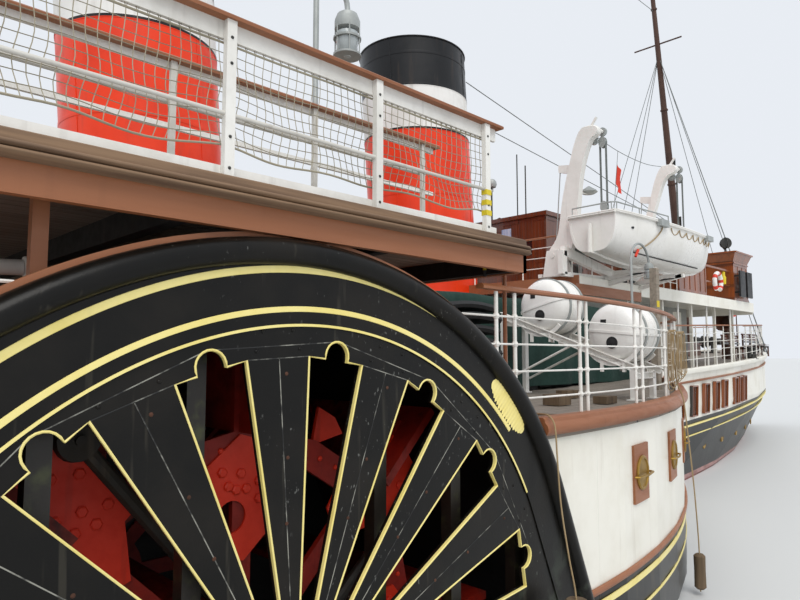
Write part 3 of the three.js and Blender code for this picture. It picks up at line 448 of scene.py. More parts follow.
def rods(starts, ends, radius, sides=8):
    """Round bars between pairs of points, all worked out at once."""
    starts = np.atleast_2d(np.asarray(starts, float))
    ends = np.atleast_2d(np.asarray(ends, float))
    side, rise = square_to(unit(ends - starts))
    circle = ring(1.0, sides)
    spokes = circle[:, :1] * side[:, None] + circle[:, 1:] * rise[:, None]
    spokes = spokes * np.reshape(radius, (-1, 1, 1))
    points = np.stack([starts[:, None] + spokes, ends[:, None] + spokes], 1).reshape(-1, 3)
    return points, repeated(tube_faces(2, sides), 2 * sides, len(starts))


BOX_FACES = [[0, 1, 3, 2], [4, 6, 7, 5], [0, 4, 5, 1], [2, 3, 7, 6], [0, 2, 6, 4], [1, 5, 7, 3]]


def beams(starts, ends, wide, deep, up=(0, 0, 1)):
    """Square bars between pairs of points: wide is measured across, and deep along up."""
    starts = np.atleast_2d(np.asarray(starts, float))
    ends = np.atleast_2d(np.asarray(ends, float))
    along = unit(ends - starts)
    side = unit(np.cross(np.asarray(up, float), along)) * wide / 2
    rise = unit(np.cross(along, side)) * deep / 2
    corners = [p + a * side + b * rise for p in (starts, ends) for a in (-1, 1) for b in (-1, 1)]
    points = np.stack(corners, 1).reshape(-1, 3)
    return points, repeated(BOX_FACES, 8, len(starts))


def blocks(*pairs):
    """Blocks with their sides along the axes, each from its lowest to its highest corner."""
    corners = np.asarray(pairs, float)
    pick = np.array([[a, b, c] for a in (0, 1) for b in (0, 1) for c in (0, 1)])
    points = np.stack([corners[:, pick[:, k], k] for k in range(3)], -1).reshape(-1, 3)
    return points, repeated(BOX_FACES, 8, len(corners))


def turned(profile, centre=(0, 0, 0), axis=(0, 0, 1), sides=16):
    """A profile of radius and height turned round an axis, with a flat face where it ends."""
    profile = np.asarray(profile, float)
    axis = unit(axis)
    side, rise = square_to(axis)
    circle = ring(1.0, sides)
    spokes = circle[:, :1] * side + circle[:, 1:] * rise
    points = np.asarray(centre) + profile[:, 1, None, None] * axis + profile[:, 0, None, None] * spokes
    return points.reshape(-1, 3), tube_faces(len(profile), sides)


def slab(outline, depth):
    """A flat outline carried straight along one vector."""
    outline = np.asarray(outline, float)
    return np.vstack([outline, outline + np.asarray(depth, float)]), tube_faces(2, len(outline))


def stamped(part, places):
    """The same small part at every place of a list."""
    points, faces = part
    places = np.atleast_2d(np.asarray(places, float))
    every = (np.asarray(points)[None] + places[:, None]).reshape(-1, 3)
    return every, repeated(faces, len(points), len(places))


def flipped(part, factors):
    """The part with its x, y and z taken times 1 or -1."""
    points, faces = part
    return np.asarray(points, float) * factors, faces


def mirrored(part):
    """The part together with its like on the other side of the ship."""
    return together(part, flipped(part, (1, -1, 1)))


def both_ends(part):
    """The part with its like at the other end of the ship."""
    return together(part, flipped(part, (-1, 1, 1)))


def on_side(parts, side):
    """A list of port parts as it is for side 1, or at starboard for side -1."""
    return [flipped(part, (1, side, 1)) for part in parts]


def oblong(wide, deep):
    """A rectangular profile, given by half of each size."""
    return [[-wide, -deep], [wide, -deep], [wide, deep], [-wide, deep]]


def line(first, last, count):
    return np.linspace(first, last, count)


def rows_of(xs, y, z):
    """One point for each x, at the same y and z, or at lists of them."""
    return np.stack([xs, np.broadcast_to(y, np.shape(xs)), np.broadcast_to(z, np.shape(xs))], -1)


def dome(radius, height, axis=(0, -1, 0), sides=8):
    """A bolt's or rivet's round head, from its flat base to the top of its crown."""
    turn = np.array([0, 0.5, 1.0, 1.35])
    profile = np.stack([radius * np.cos(turn), height * np.sin(turn)], 1)
    return turned(profile, axis=axis, sides=sides)


print("form helpers ready")

# %% [markdown]
# One function makes a mesh from the parts, turns all its faces outwards, halves it to the model's
# scale, gives it its finish and lets it ride on its body. Edges sharper than 35 degrees stay crisp.

# %% Making a piece
def piece(name, finish, *parts, body="ship", smooth=True, stands_for=()):
    points, faces = together(*parts)
    mesh = bpy.data.meshes.new(name)
    mesh.from_pydata((points * SCALE).tolist(), [], faces)
    work = bmesh.new()
    work.from_mesh(mesh)
    bmesh.ops.recalc_face_normals(work, faces=work.faces)
    work.to_mesh(mesh)
    work.free()
    if smooth:
        mesh.polygons.foreach_set("use_smooth", np.ones(len(mesh.polygons), bool))
        mesh.set_sharp_from_angle(angle=math.radians(35))
    mesh.materials.append(FINISH[finish][0])
    made = bpy.data.objects.new(name, mesh)
    bpy.context.scene.collection.objects.link(made)
    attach(made, body)
    if stands_for:
        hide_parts(*stands_for)
    return made


def pair(name, finish, *parts, **more):
    """A piece that stands on both sides of the ship, from its parts at port."""
    return piece(name, finish, *[mirrored(part) for part in parts], **more)


def both(name):
    return name + "_port", name + "_starboard"


SIDES = ((1, "port"), (-1, "starboard"))
print("pieces can be made")

# %% [markdown]
# Free ropes come before all the rest. A smooth curve runs through each rope's measured places. Two
# ropes hold wooden fenders over the side, and two hanks of spare line hang from a bar of the rail.

# %% Ropes
def curve(places, per=8):
    """A smooth line through all places: each stretch is a cubic whose ends share their slopes."""
    places = np.asarray(places, float)
    wide = np.vstack([2 * places[0] - places[1], places, 2 * places[-1] - places[-2]])
    a, b, c, d = wide[:-3, None], wide[1:-2, None], wide[2:-1, None], wide[3:, None]
    t = line(0, 1, per + 1)[:-1][None, :, None]
    stretch = 0.5 * (2 * b + (c - a) * t + (2 * a - 5 * b + 4 * c - d) * t ** 2
                     + (3 * b - a - 3 * c + d) * t ** 3)
    return np.vstack([stretch.reshape(-1, 3), places[-1:]])


def rope(name, path, thick):
    """A rope of one thickness along a path."""
    made = piece(name, "rope", sweep(path, ring(thick / 2, 8), (0.31, 0.2, 0.93)))
    return made


def log_fender(name, x, y, low, high, radius):
    """A short log with rounded ends and a hole for its rope."""
    soft = 0.03
    profile = [[0.02, low], [radius - soft, low], [radius, low + soft], [radius * 0.96, (low + high) / 2],
               [radius, high - soft], [radius - soft, high], [0.02, high]]
    return piece(name, "log", turned(profile, (x, y, 0), sides=20))


near_log = log_fender("fender_log_near", 2.865, -8.90, 0.62, 1.48, 0.12)
near_rope = curve([(2.86, -8.52, 3.10), (2.83, -8.60, 3.105), (2.79, -8.69, 3.10), (2.77, -8.755, 3.05),
                   (2.765, -8.78, 2.95), (2.77, -8.79, 2.7), (2.79, -8.805, 2.3), (2.83, -8.85, 1.85),
                   (2.86, -8.89, 1.55), (2.865, -8.90, 1.3), (2.865, -8.90, 0.9), (2.865, -8.90, 0.58)])
rope("fender_rope_near", near_rope, 0.016)
far_log = log_fender("fender_log_far", 7.98, -8.02, 0.10, 0.62, 0.085)
far_rope = curve([(7.07, -8.10, 3.72), (7.07, -8.115, 3.55), (7.07, -8.15, 3.25), (7.07, -8.21, 3.10),
                  (7.08, -8.235, 2.95), (7.2, -8.22, 2.55), (7.42, -8.17, 2.1), (7.68, -8.10, 1.6),
                  (7.9, -8.04, 1.05), (7.98, -8.02, 0.7), (7.98, -8.02, 0.4), (7.98, -8.02, 0.06)])
rope("fender_rope_far", far_rope, 0.02)


def hank(name, x, y, top, drop, wide, turns, thick=0.013, per=56):
    """Long hanging turns side by side. One turn is two half circles joined by straight runs that
    splay towards the foot; each lies a thickness further out and hangs a little lower or higher."""
    turn = line(-math.pi / 2, math.pi / 2, 25)
    crown = np.stack([wide * np.sin(turn), wide - wide * np.cos(turn)], 1)
    one = np.vstack([crown[12:], np.array([[0, drop]]) + crown[::-1] * [1, -1], crown[:13]])
    way = np.append(0, np.cumsum(np.linalg.norm(np.diff(one, axis=0), axis=1)))
    count = line(0, turns, turns * per)
    across, down = (np.interp(count % 1 * way[-1], way, one[:, k]) for k in (0, 1))
    path = np.stack([x + across * (1 + 0.5 * down / drop), y - 1.5 * thick * count,
                     top - down * (0.9 + 0.1 * np.sin(count * 2.7))], 1)
    rope(name, path, thick)


hank("rope_hank_near", 6.94, -8.105, 4.025, 0.88, 0.075, 5)
hank("rope_hank_far", 6.99, -8.20, 4.0, 0.72, 0.07, 5)

# %% [markdown]
# The paddle box is a half round with straight flanks that spread to the foot. Every moulding on
# its face follows one outline at its own radius, so one function gives that outline, and the
# mouldings are profiles carried along it.

# %% The outline of the box and its vents
RIM_Z = 1.10
SHAFT_Z = 1.45
FACE_Y = 8.64
FLANK = math.radians(24)
BOX_FOOT = 0.3
BAND_CENTRE, BAND_PROUD = (0.08, 1.11), 0.012


def box_outline(radius, foot=BOX_FOOT, steps=60, first=None, last=None, centre=(0.0, RIM_Z)):
    """Points x, z of the arc from the +x side over the top, with the straight flanks where no other
    first and last angle are given."""
    turn = line(FLANK if first is None else first, math.pi - FLANK if last is None else last, steps)
    arc = np.stack([centre[0] + radius * np.cos(turn), centre[1] + radius * np.sin(turn)], 1)
    ends = []
    for point, given, way in ((arc[0], first, 1), (arc[-1], last, -1)):
        spread = way * (point[1] - foot) * math.tan(FLANK)
        ends.append([[point[0] + spread, foot]] if given is None else np.empty((0, 2)))
    return np.vstack([ends[0], arc, ends[1]])


def on_face(flat, y=FACE_Y):
    """Points x, z laid on a plane of the port face."""
    flat = np.asarray(flat, float)
    return np.stack([flat[:, 0], np.full(len(flat), y), flat[:, 1]], 1)


VENT_ANGLES = np.radians(90 + 4.2 + (np.arange(8) - 3.5) * 24)
VENT_INNER, VENT_OUTER, VENT_LOBE, VENT_RISE = 0.5, 2.54, 0.098, 0.03
VENT_SLOPE = math.tan(math.radians(6))


def around_shaft(flat, angle):
    """Points r, t of one vent's or one arm's own frame as x, z about the shaft."""
    r, t = np.asarray(flat, float).T
    x = math.cos(angle) * r - math.sin(angle) * t
    z = math.sin(angle) * r + math.cos(angle) * t
    return np.stack([x, SHAFT_Z + z], 1)


def vent_outline(angle, grow=0.0):
    """Straight sides from the shaft, square shoulders and a round lobe; grow widens it all round."""
    rise = SHAFT_Z - RIM_Z
    reach = -math.sin(angle) * rise + math.sqrt((math.sin(angle) * rise) ** 2 + VENT_OUTER ** 2 - rise ** 2)
    reach += grow
    lobe = VENT_LOBE + grow
    turn = line(-math.pi / 2, math.pi / 2, 11)
    dome_points = np.stack([reach + VENT_RISE + lobe * np.cos(turn), lobe * np.sin(turn)], 1)
    inner = VENT_INNER - grow
    side = VENT_SLOPE * np.array([inner, reach]) + grow
    local = np.vstack([[inner, -side[0]], [reach, -side[1]], [reach, -lobe], dome_points,
                       [reach, lobe], [reach, side[1]], [inner, side[0]]])
    return around_shaft(local, angle)


print("vents at", np.degrees(VENT_ANGLES).round(1))

# %% [markdown]
# The boards carry the vents as holes, so their front and back are filled between loops with
# Blender's own polygon filler, and the edges of the loops are joined by walls.

# %% Boards of the face
def pierced(outline, holes, y0, y1):
    """A board between two planes of y, with holes cut straight through."""
    loops = [outline] + list(holes)
    flat = np.vstack(loops)
    filler = tessellate_polygon([[Vector((x, z, 0)) for x, z in loop] for loop in loops])
    count = len(flat)
    points = np.vstack([on_face(flat, y0), on_face(flat, y1)])
    faces = [list(face) for face in filler] + [[count + k for k in face[::-1]] for face in filler]
    start = 0
    for loop in loops:
        turn = np.arange(len(loop))
        after = (turn + 1) % len(loop)
        walls = np.stack([start + turn, start + after, count + start + after, count + start + turn], 1)
        faces += walls.tolist()
        start += len(loop)
    return points, faces


def box_paint():
    """Tarred boards: slow warm tones, pale scratches, and algae where spray keeps them wet."""
    s = Shader("box_boards", 0.34, gloss=0.22)
    patches = s.noise(1.6, 5).ramp(0.4, 0.7)
    base = s.mix(patches, "0d0c0a", "1a1713")
    rubbed = s.noise(38, 3, (1, 1, 0.5)).ramp(0.66, 0.72) * s.noise(1.1, 2).ramp(0.5, 0.62)
    worn = s.mix(rubbed * 0.7, base, "6f706c")
    runs = s.noise(12, 3, (1, 1, 0.07)).ramp(0.64, 0.74)
    stained = s.mix(runs * 0.35, worn, "4a463c")
    wet = s.noise(4, 5).ramp(0.5, 0.68) * s.z.ramp(2.1, 1.2)
    s.colour(s.mix(wet * 0.6, stained, "4c5548"))
    s.set("Roughness", patches * 0.15 + 0.28)
    s.bump(s.noise(50, 2) * 0.25 + s.noise(3, 2) * 0.75, 0.003)
    return s.material


def joint_paint():
    """Pale caulking that shows here and there in the joints of the boards."""
    s = Shader("box_joints", 0.6)
    s.colour(s.mix(s.noise(7, 5).ramp(0.42, 0.62), "1d1d1d", "8f8e84"))
    return s.material


FINISH["box"] = (box_paint(), "box_black")
FINISH["joint"] = (joint_paint(), "box_black")
boards = pierced(box_outline(3.2), [vent_outline(a) for a in VENT_ANGLES], FACE_Y - 0.06, FACE_Y)
band_loop = np.vstack([box_outline(3.16), box_outline(2.743, centre=BAND_CENTRE)[::-1]])
band = slab(on_face(band_loop), (0, BAND_PROUD, 0))
turn = line(0, math.pi, 13)
half_round = np.stack([0.088 * np.cos(turn), 0.1 * np.sin(turn)], 1)
rim_profile = np.vstack([half_round, [[-0.088, -0.05], [0.088, -0.05]]])
rim = sweep(on_face(box_outline(3.215)), rim_profile, up=(0, 1, 0))
batten_profile = [[-0.03, -0.16], [0.035, -0.16], [0.035, -0.02], [-0.03, -0.02]]
batten = sweep(on_face(box_outline(3.3)), batten_profile, up=(0, 1, 0))
pair("paddle_box_boards", "box", boards, band, rim, stands_for=both("paddle_box_face"))
pair("box_crown_edge", "fascia", batten)

# %% [markdown]
# The gold lines are laid a few millimetres proud of the boards, so that they catch the light as
# a coat of gold does. Each vent is edged with a thin rounded arris and lined with gold inside.

# %% Gold lines, arrises and linings
LINING_BACK, LINING_DEPTH = 0.026, (0, 0.028, 0)


def ribbon(radius, wide, first, last, centre, y=FACE_Y + BAND_PROUD, proud=0.004):
    """A flat line of one width along an arc about its own centre."""
    half = wide / 2
    profile = [[-half, 0], [half, 0], [half * 0.9, proud], [-half * 0.9, proud]]
    path = box_outline(radius, BOX_FOOT, 90, math.radians(first), math.radians(last), centre)
    return sweep(on_face(path, y), profile, up=(0, 1, 0))


def lining(angle):
    """The painted inner walls of a vent: a thin loop in the outer part of the board."""
    outer, inner = (on_face(vent_outline(angle, grow), FACE_Y - LINING_BACK) for grow in (0, -0.004))
    rows = np.stack([outer, outer + LINING_DEPTH, inner + LINING_DEPTH, inner])
    return rows.reshape(-1, 3), grid_faces(4, len(outer), True)


arris = [[-0.007, -0.002], [0.007, -0.002], [0.006, 0.004], [0.0, 0.007], [-0.006, 0.004]]
edges = [sweep(on_face(vent_outline(a)), arris, up=(0, 1, 0), closed=True) for a in VENT_ANGLES]
linings = [lining(a) for a in VENT_ANGLES]
lines = [ribbon(3.111, 0.046, 43, 136, (0.10, 1.10)), ribbon(2.867, 0.036, 42, 137, (0.10, 1.09)),
         ribbon(2.743, 0.018, 29, 150, BAND_CENTRE)]
pair("box_gold", "gold", *edges, *linings, *lines)

# %% [markdown]
# At each end of the upper band a gilded spray of leaves fills the space between the lines. It is a
# ragged lens: its edge swings in and out many times along its length, and its face is crowned.

# %% Gilded sprays and bolt heads
def spray(angle, radius=3.07, length=0.64, breadth=0.25, teeth=17):
    """A crowned leaf shape round one point: breadth grows as the sine along it, with teeth."""
    along = line(0, 1, teeth * 4 + 1)
    ragged = np.sin(along * teeth * 2 * math.pi) + 0.6 * np.sin(along * 41)
    tooth = 1 + 0.13 * ragged * np.sin(along * math.pi)
    half = breadth / 2 * np.sin(along * math.pi) ** 0.45 * tooth
    turn = angle + (along - 0.5) * length / radius
    across = line(-1, 1, 7)[:, None]
    r = radius + across * half
    crown = 0.014 * (1 - across ** 4) * np.sin(along * math.pi) ** 0.3
    x, z = r * np.cos(turn), RIM_Z + r * np.sin(turn)
    y = np.broadcast_to(FACE_Y + 0.01 + crown + 0.0012 * np.sin(along * teeth * 2 * math.pi), r.shape)
    points = np.stack([x, y, z], -1).reshape(-1, 3)
    return points, grid_faces(7, len(along))


sprays = [spray(math.radians(43.6)), spray(math.radians(131.6), 2.92)]
pair("box_sprays", "gold", *sprays)
bolt_places, rusty_places, joint_starts, joint_ends = [], [], [], []
for first, last in zip(VENT_ANGLES[:-1], VENT_ANGLES[1:]):
    near, far = vent_outline(first), vent_outline(last)
    corner_a, corner_b = near[-2], far[1]
    lobe_a, lobe_b = near[8], far[8]
    middle = (corner_a + corner_b) / 2
    shaft = np.array([0.0, SHAFT_Z])
    joint_starts += [corner_a, lobe_a, middle]
    joint_ends += [corner_b, lobe_b, shaft + (middle - shaft) * 0.25]
    way = unit(corner_b - corner_a)
    out = unit(middle - shaft)
    for along, up in ((0.07, 0.05), (0.12, 0.17)):
        bolt_places += [corner_a + way * along + out * up, corner_b - way * along + out * up]
    for down, aside in ((0.1, 0.05), (0.62, 0.03), (1.02, 0)):
        rusty_places.append(middle - out * down - way * aside)
bolts = stamped(dome(0.013, 0.009, (0, 1, 0)), on_face(bolt_places))
rusty = stamped(dome(0.013, 0.006, (0, 1, 0)), on_face(rusty_places))
joints = beams(on_face(joint_starts), on_face(joint_ends), 0.006, 0.003, (0, 1, 0))
pair("box_bolts", "box", bolts)
pair("box_rust", "rust", rusty)
pair("box_joints", "joint", joints)

# %% [markdown]
# Through the vents one sees the wheel: red gusset plates with round heads of bolts, lightening
# holes, and dark rods that feather the floats. They ride on the wheels, so they turn with them.

# %% Gusset plates and rods of the wheels
ARM_ANGLES = np.arange(8) * (math.pi / 4)
PLATE_Y, OUTER_PLATE_Y, PLATE_THICK = 7.97, 7.974, 0.02
BRACKET_Y, ROD_Y = 7.9, 8.1
INNER_PLATE = [(0.79, -0.01), (0.96, -0.205), (1.63, -0.06), (1.66, 0.03), (1.46, 0.277), (0.85, 0.275)]
OUTER_PLATE = [(1.14, -0.05), (1.43, -0.27), (1.43, -0.32), (1.75, -0.41), (1.97, -0.385), (2.09, -0.32),
               (2.14, -0.05), (2.05, 0.22), (1.7, 0.3), (1.25, 0.2)]
INNER_HEADS = [(1.41, 0.17), (1.39, 0.025), (1.31, 0.12), (1.28, 0.06), (1.28, -0.02), (1.32, -0.12),
               (1.2, -0.12)]
OUTER_HEADS = [(1.68, -0.16), (1.59, -0.28), (1.56, -0.16), (1.62, -0.05), (1.76, -0.03), (1.85, -0.3),
               (1.95, -0.18), (1.9, 0.08), (1.7, 0.16), (1.45, 0.1)]


plates, heads, feathering = [], [], []
for k, a in enumerate(ARM_ANGLES):
    if k % 2 == 0:
        hole = around_shaft(ring(0.11, 20) + [1.1, 0.09], a)
        plates.append(pierced(around_shaft(INNER_PLATE, a), [hole], PLATE_Y, PLATE_Y + PLATE_THICK))
        heads += on_face(around_shaft(INNER_HEADS, a), PLATE_Y + PLATE_THICK).tolist()
        continue
    plates.append(slab(on_face(around_shaft(OUTER_PLATE, a), OUTER_PLATE_Y), (0, PLATE_THICK, 0)))
    bracket = [(1.52, 0.62), (1.77, 0.78), (1.82, 0.6), (1.78, 0.45)]
    plates.append(slab(on_face(around_shaft(bracket, a), BRACKET_Y), (0, 0.03, 0)))
    heads += on_face(around_shaft(OUTER_HEADS, a), OUTER_PLATE_Y + PLATE_THICK).tolist()
    far, near = on_face(around_shaft([(2.04, -0.41), (0.62, -0.27)], a), ROD_Y)
    feathering.append(rods(far, near, 0.048, 10))
    eye = [[0.05, -0.05], [0.12, -0.05], [0.13, 0.0], [0.12, 0.05], [0.05, 0.05]]
    feathering.append(turned(eye, far, (0, 1, 0), 18))
    feathering.append(rods([far - [0, 0.14, 0]], [far + [0, 0.08, 0]], 0.03, 8))
hub = turned([[0.21, 7.98], [0.46, 7.98], [0.5, 8.02], [0.5, 8.13], [0.46, 8.16], [0.21, 8.16]],
             (0, 0, SHAFT_Z), (0, 1, 0), 40)
ring_heads = [[math.cos(a) * 1.565, 7.975, SHAFT_Z + math.sin(a) * 1.565]
              for a in line(0, 2 * math.pi, 57)[:-1]]
pair("wheel_gussets", "plate_red", *plates, body="paddles", smooth=False)
hexagon = turned([[0.036, 0], [0.036, 0.014], [0.026, 0.02]], axis=(0, 1, 0), sides=6)
ring_bolts = stamped(dome(0.022, 0.016, (0, 1, 0)), ring_heads)
pair("wheel_bolts", "plate_red", stamped(hexagon, heads), ring_bolts, body="paddles", smooth=False)
pair("feathering_rods", "tarred", *feathering, hub, body="paddles")


def casing_paint():
    """Orange-brown crown and flanks outside, near black inside, and moss on the outboard timbers."""
    s = Shader("paddle_casing", 0.5)
    rise = s.z - RIM_Z
    across = s.x.abs()
    radial = (across * across + rise * rise) ** 0.5
    flank = across * math.cos(FLANK) + rise * math.sin(FLANK)
    on_flank = rise < across * math.tan(FLANK)
    reach_out = radial * (1 - on_flank) + flank * on_flank
    patches = s.noise(1.5, 5).ramp(0.4, 0.7)
    crown = s.mix(patches, "a9592f", "8d4824")
    inside = s.mix(patches, "0d0b0a", "191310")
    slime = s.mix(s.noise(7, 4).ramp(0.5, 0.75), "1d1812", "3d4024")
    timbers = (s.y.abs() > 8.27) * (reach_out < 3.19)
    painted = s.mix(reach_out > 3.235, s.mix(timbers, inside, slime), crown)
    s.colour(painted)
    s.bump(s.noise(12, 4) * 0.6 + patches * 0.4, 0.006)
    return s.material


FINISH["casing"] = (casing_paint(), "brown_paint")
print("casing paint ready")

# %% [markdown]
# A narrow deck of planks for landing lies over the paddle box. Its planks lie on four beams, its
# edge is a weathered nosing over a painted fascia, and the beams under it are nearly black.

# %% Landing decks
LANDING_HALF, LANDING_Y, LANDING_BOTTOM, LANDING_TOP = 2.52, 8.73, 4.59, 4.69


def planks(x0, x1, y0, y1, z0, z1, pitch=0.14, gap=0.006):
    """Boards along the ship with a narrow gap between them and eased upper edges."""
    count = int(round((y1 - y0) / pitch))
    edges_y = line(y0, y1, count + 1)
    parts = []
    for low, high in zip(edges_y[:-1] + gap / 2, edges_y[1:] - gap / 2):
        section = [[low, z0], [high, z0], [high, z1 - 0.006], [high - 0.006, z1], [low + 0.006, z1],
                   [low, z1 - 0.006]]
        parts.append(slab([[x0, y, z] for y, z in section], (x1 - x0, 0, 0)))
    return together(*parts)


half, reach = LANDING_HALF, LANDING_Y
planking = planks(-half, half, 2.11, reach - 0.07, LANDING_BOTTOM, LANDING_TOP)
rounded = [[0.01 + 0.036 * abs(math.sin(2 * math.pi * t)) ** 0.6, -0.066 + 0.072 * t]
           for t in line(0, 1, 21)]
nosing_profile = [[-0.12, 0.065], [-0.12, -0.07], [0.0, -0.07]] + rounded + [[0.0, 0.012], [-0.004, 0.058],
                                                                           [-0.012, 0.065]]
corner = [(half + 0.03, 2.2), (half + 0.03, reach - 0.15), (half - 0.02, reach - 0.05), (half - 0.1, reach)]
edge_plan = [(-x, y) for x, y in corner] + [(0, reach)] + corner[::-1]
edge_path = [(x, y, (LANDING_BOTTOM + LANDING_TOP) / 2) for x, y in edge_plan]
nosing = sweep(edge_path, nosing_profile)
fascia = blocks([[-half + 0.03, reach - 0.11, 4.41], [half - 0.03, reach - 0.05, 4.6]],
                [[-half + 0.03, 2.3, 4.41], [-half + 0.08, reach - 0.05, 4.6]],
                [[half - 0.08, 2.3, 4.41], [half - 0.03, reach - 0.05, 4.6]])
under = blocks(*[[[x - 0.05, 2.3, 4.42], [x + 0.05, reach - 0.1, 4.595]] for x in (-2.41, -0.8, 0.8, 2.41)])
pair("landing_planks", "deck", planking)
pair("landing_nosing", "nosing", nosing, stands_for=both("landing_deck"))
pair("landing_fascia", "fascia", fascia)
pair("landing_beams", "dark", under)

# %% [markdown]
# The timber posts under the landing deck stop on the curve of the paddle box, so each foot is
# taken down to the height of the crown at its own place along the ship.

# %% Posts under the landing deck
def crown_height(x, radius=3.26):
    return RIM_Z + math.sqrt(radius ** 2 - x ** 2)


post_parts = []
for x, y in ((-1.47, 8.36), (-2.27, 5.2), (2.27, 5.2)):
    foot = crown_height(abs(x) - 0.055) - 0.12
    post_parts.append(beams([x, y, foot], [x, y, 4.5], 0.065, 0.08, (1, 0, 0)))
for x in (-2.53, 2.53):
    post_parts.append(rods([x, 8.40, 3.25], [x, 8.40, 4.5], 0.02, 10))
pair("landing_posts", "brown", *post_parts)

# %% [markdown]
# The landing rail is timber: square posts bolted to the edge, a brown capping over a deep white
# board, one round bar and a kicking board. A net of twine is laced between ropes so that nobody
# slips through.

# %% Landing rails
RAIL_POSTS = np.array([-1.83, -0.56, 0.65, 1.93])
RAIL_TOP, POST_GAP = 5.70, 1.25


def landing_rail(y, boards_at, thick=0.045):
    """Posts at one plane of y, with flat boards at the given heights, each with its own depth."""
    posts_here = blocks(*[[[x - thick * 0.72, y - thick / 2, 4.69],
                           [x + thick * 0.72, y + thick / 2, RAIL_TOP - 0.03]] for x in RAIL_POSTS])
    boards_here = blocks(*[[[-2.08, y - thick / 2 - 0.03, z - deep], [2.1, y - thick / 2 - 0.002, z]]
                           for z, deep in boards_at])
    return posts_here, boards_here


outer_rail = landing_rail(8.66, ((RAIL_TOP - 0.03, 0.11), (4.78, 0.085)))
inner_rail = landing_rail(7.90, ((RAIL_TOP - 0.03, 0.05), (5.24, 0.035), (4.95, 0.06)), 0.03)
round_bar = rods([-2.08, 8.66, 5.09], [2.0, 8.66, 5.09], 0.014, 12)
far_bar = rods([-2.0, 7.86, 5.4], [2.0, 7.86, 5.4], 0.02, 10)
pair("landing_rail_boards", "white_wood", *outer_rail, inner_rail[1], stands_for=both("landing_rail"))
pair("landing_rail_bars", "bar_grey", inner_rail[0], round_bar, far_bar)
cap_profile = [[-0.05, -0.012], [0.05, -0.012], [0.052, 0.008], [0.035, 0.022], [-0.035, 0.022],
               [-0.052, 0.008]]
caps = [sweep([[-2.12, y, RAIL_TOP - 0.018], [2.14, y, RAIL_TOP - 0.018]], cap_profile)
        for y in (8.65, 7.89)]
pair("landing_rail_caps", "brown", *caps)
studs = [[x, 8.683, z] for x in RAIL_POSTS for z in (5.56, 5.40, 4.95, 4.76)]
tape = [blocks([[1.895, 8.632, low], [1.965, 8.688, low + 0.045]]) for low in (4.86, 4.95, 5.04)]
pair("post_tapes", "yellow", *tape)
pair("landing_rail_studs", "iron", stamped(dome(0.011, 0.008, (0, 1, 0)), studs))

# %% [markdown]
# The net is knotted twine with a mesh of about 100 mm. It is laced tight to the capping, its foot
# rope sags a little between the posts, and no two of its meshes are quite alike.

# %% The rail's net
def net(x0, x1, low, high, y, pitch=0.062, twine=0.0032):
    """Lines up and along between two heights, each swung by slow waves, more so near the foot."""
    def swung(u, v):
        taut = x0 + (x1 - x0) * u
        x = taut + 0.022 * np.sin(9 * v + 23 * u) * (1.2 - v)
        sag = 0.025 * np.abs(np.sin((taut - RAIL_POSTS[0]) * math.pi / POST_GAP)) + 0.015 * np.sin(31 * u)
        z = low + (high - low) * v - sag * (1.1 - v)
        return np.stack([x, y + 0.02 * np.sin(17 * u + 4 * v) * (1.1 - v), z], -1)

    across, along = int((high - low) / pitch), int((x1 - x0) / pitch)
    rows = [tube(swung(line(0, 1, along * 2), np.full(along * 2, v)), twine, 3)
            for v in line(0, 1, across + 1)]
    columns = [tube(swung(np.full(12, u), line(0, 1, 12)), twine, 3, up=(1, 0, 0))
               for u in line(0, 1, along + 1)]
    steps = line(0, 1, 2 * along + 1)
    lacing = swung(steps, np.ones(2 * along + 1))
    lacing[:, 2] += 0.08 * (np.arange(2 * along + 1) % 2)
    ropes = [tube(swung(line(0, 1, 60), np.full(60, v)), 0.007, 6) for v in (0, 1)]
    return together(*rows, *columns, tube(lacing, 0.004, 4), *ropes)


pair("landing_net", "net", net(-2.05, 2.02, 4.90, 5.54, 8.62))
pole = turned([[0.018, 4.4], [0.018, 5.0]], (2.36, 8.3, 0), sides=10)
bands = [turned([[0.019, z], [0.019, z + 0.09]], (2.36, 8.3, 0), sides=10) for z in (4.46, 4.64, 4.82)]
pair("boat_hook_pole", "rubber", pole)
pair("boat_hook_bands", "yellow", *bands)
pipe = [(-2.3, 7.5, 4.12), (-1.9, 7.5, 4.17), (-1.5, 7.5, 4.2), (-1.32, 7.5, 4.21)]
lagged = [tube(curve(pipe), 0.05, 12),
          turned([[0.02, 0], [0.07, 0.01], [0.075, 0.06], [0.03, 0.09]], pipe[-1], (1, 0, 0.1), 14)]
pair("lagged_pipe", "white_wood", *lagged)

# %% [markdown]
# A funnel is a riveted steel drum that leans aft. It is worked out as one smooth wall on a grid of
# turns and heights; the lean moves each ring aft in proportion to its height. Its colours are
# broad bands at set heights, so the finish reads the height.

# %% Funnel paint
LINE_FOOT, WHITE_FOOT, BLACK_FOOT = 9.42, 9.47, 10.54


def funnel_paint():
    s = Shader("funnel_bands", 0.38, gloss=0.35)
    patches = s.noise(1.1, 5).ramp(0.4, 0.7)
    red = s.mix(patches, "ef3d12", "e0340c")
    white = s.mix(patches, "eceae6", "dddad4")
    black = s.mix(patches, "101113", "17181b")
    lower = s.mix(s.z > LINE_FOOT, red, "141414")
    middle = s.mix(s.z > WHITE_FOOT, lower, white)
    banded = s.mix(s.z > BLACK_FOOT, middle, black)
    soot = s.noise(6, 4, (1, 1, 0.1)).ramp(0.55, 0.8) * 0.25
    s.colour(s.mix(soot, banded, "5b4a3c"))
    s.set("Roughness", patches * 0.2 + 0.3)
    s.bump(s.noise(50, 2) * 0.3 + s.noise(2.0, 2) * 0.7, 0.004)
    return s.material


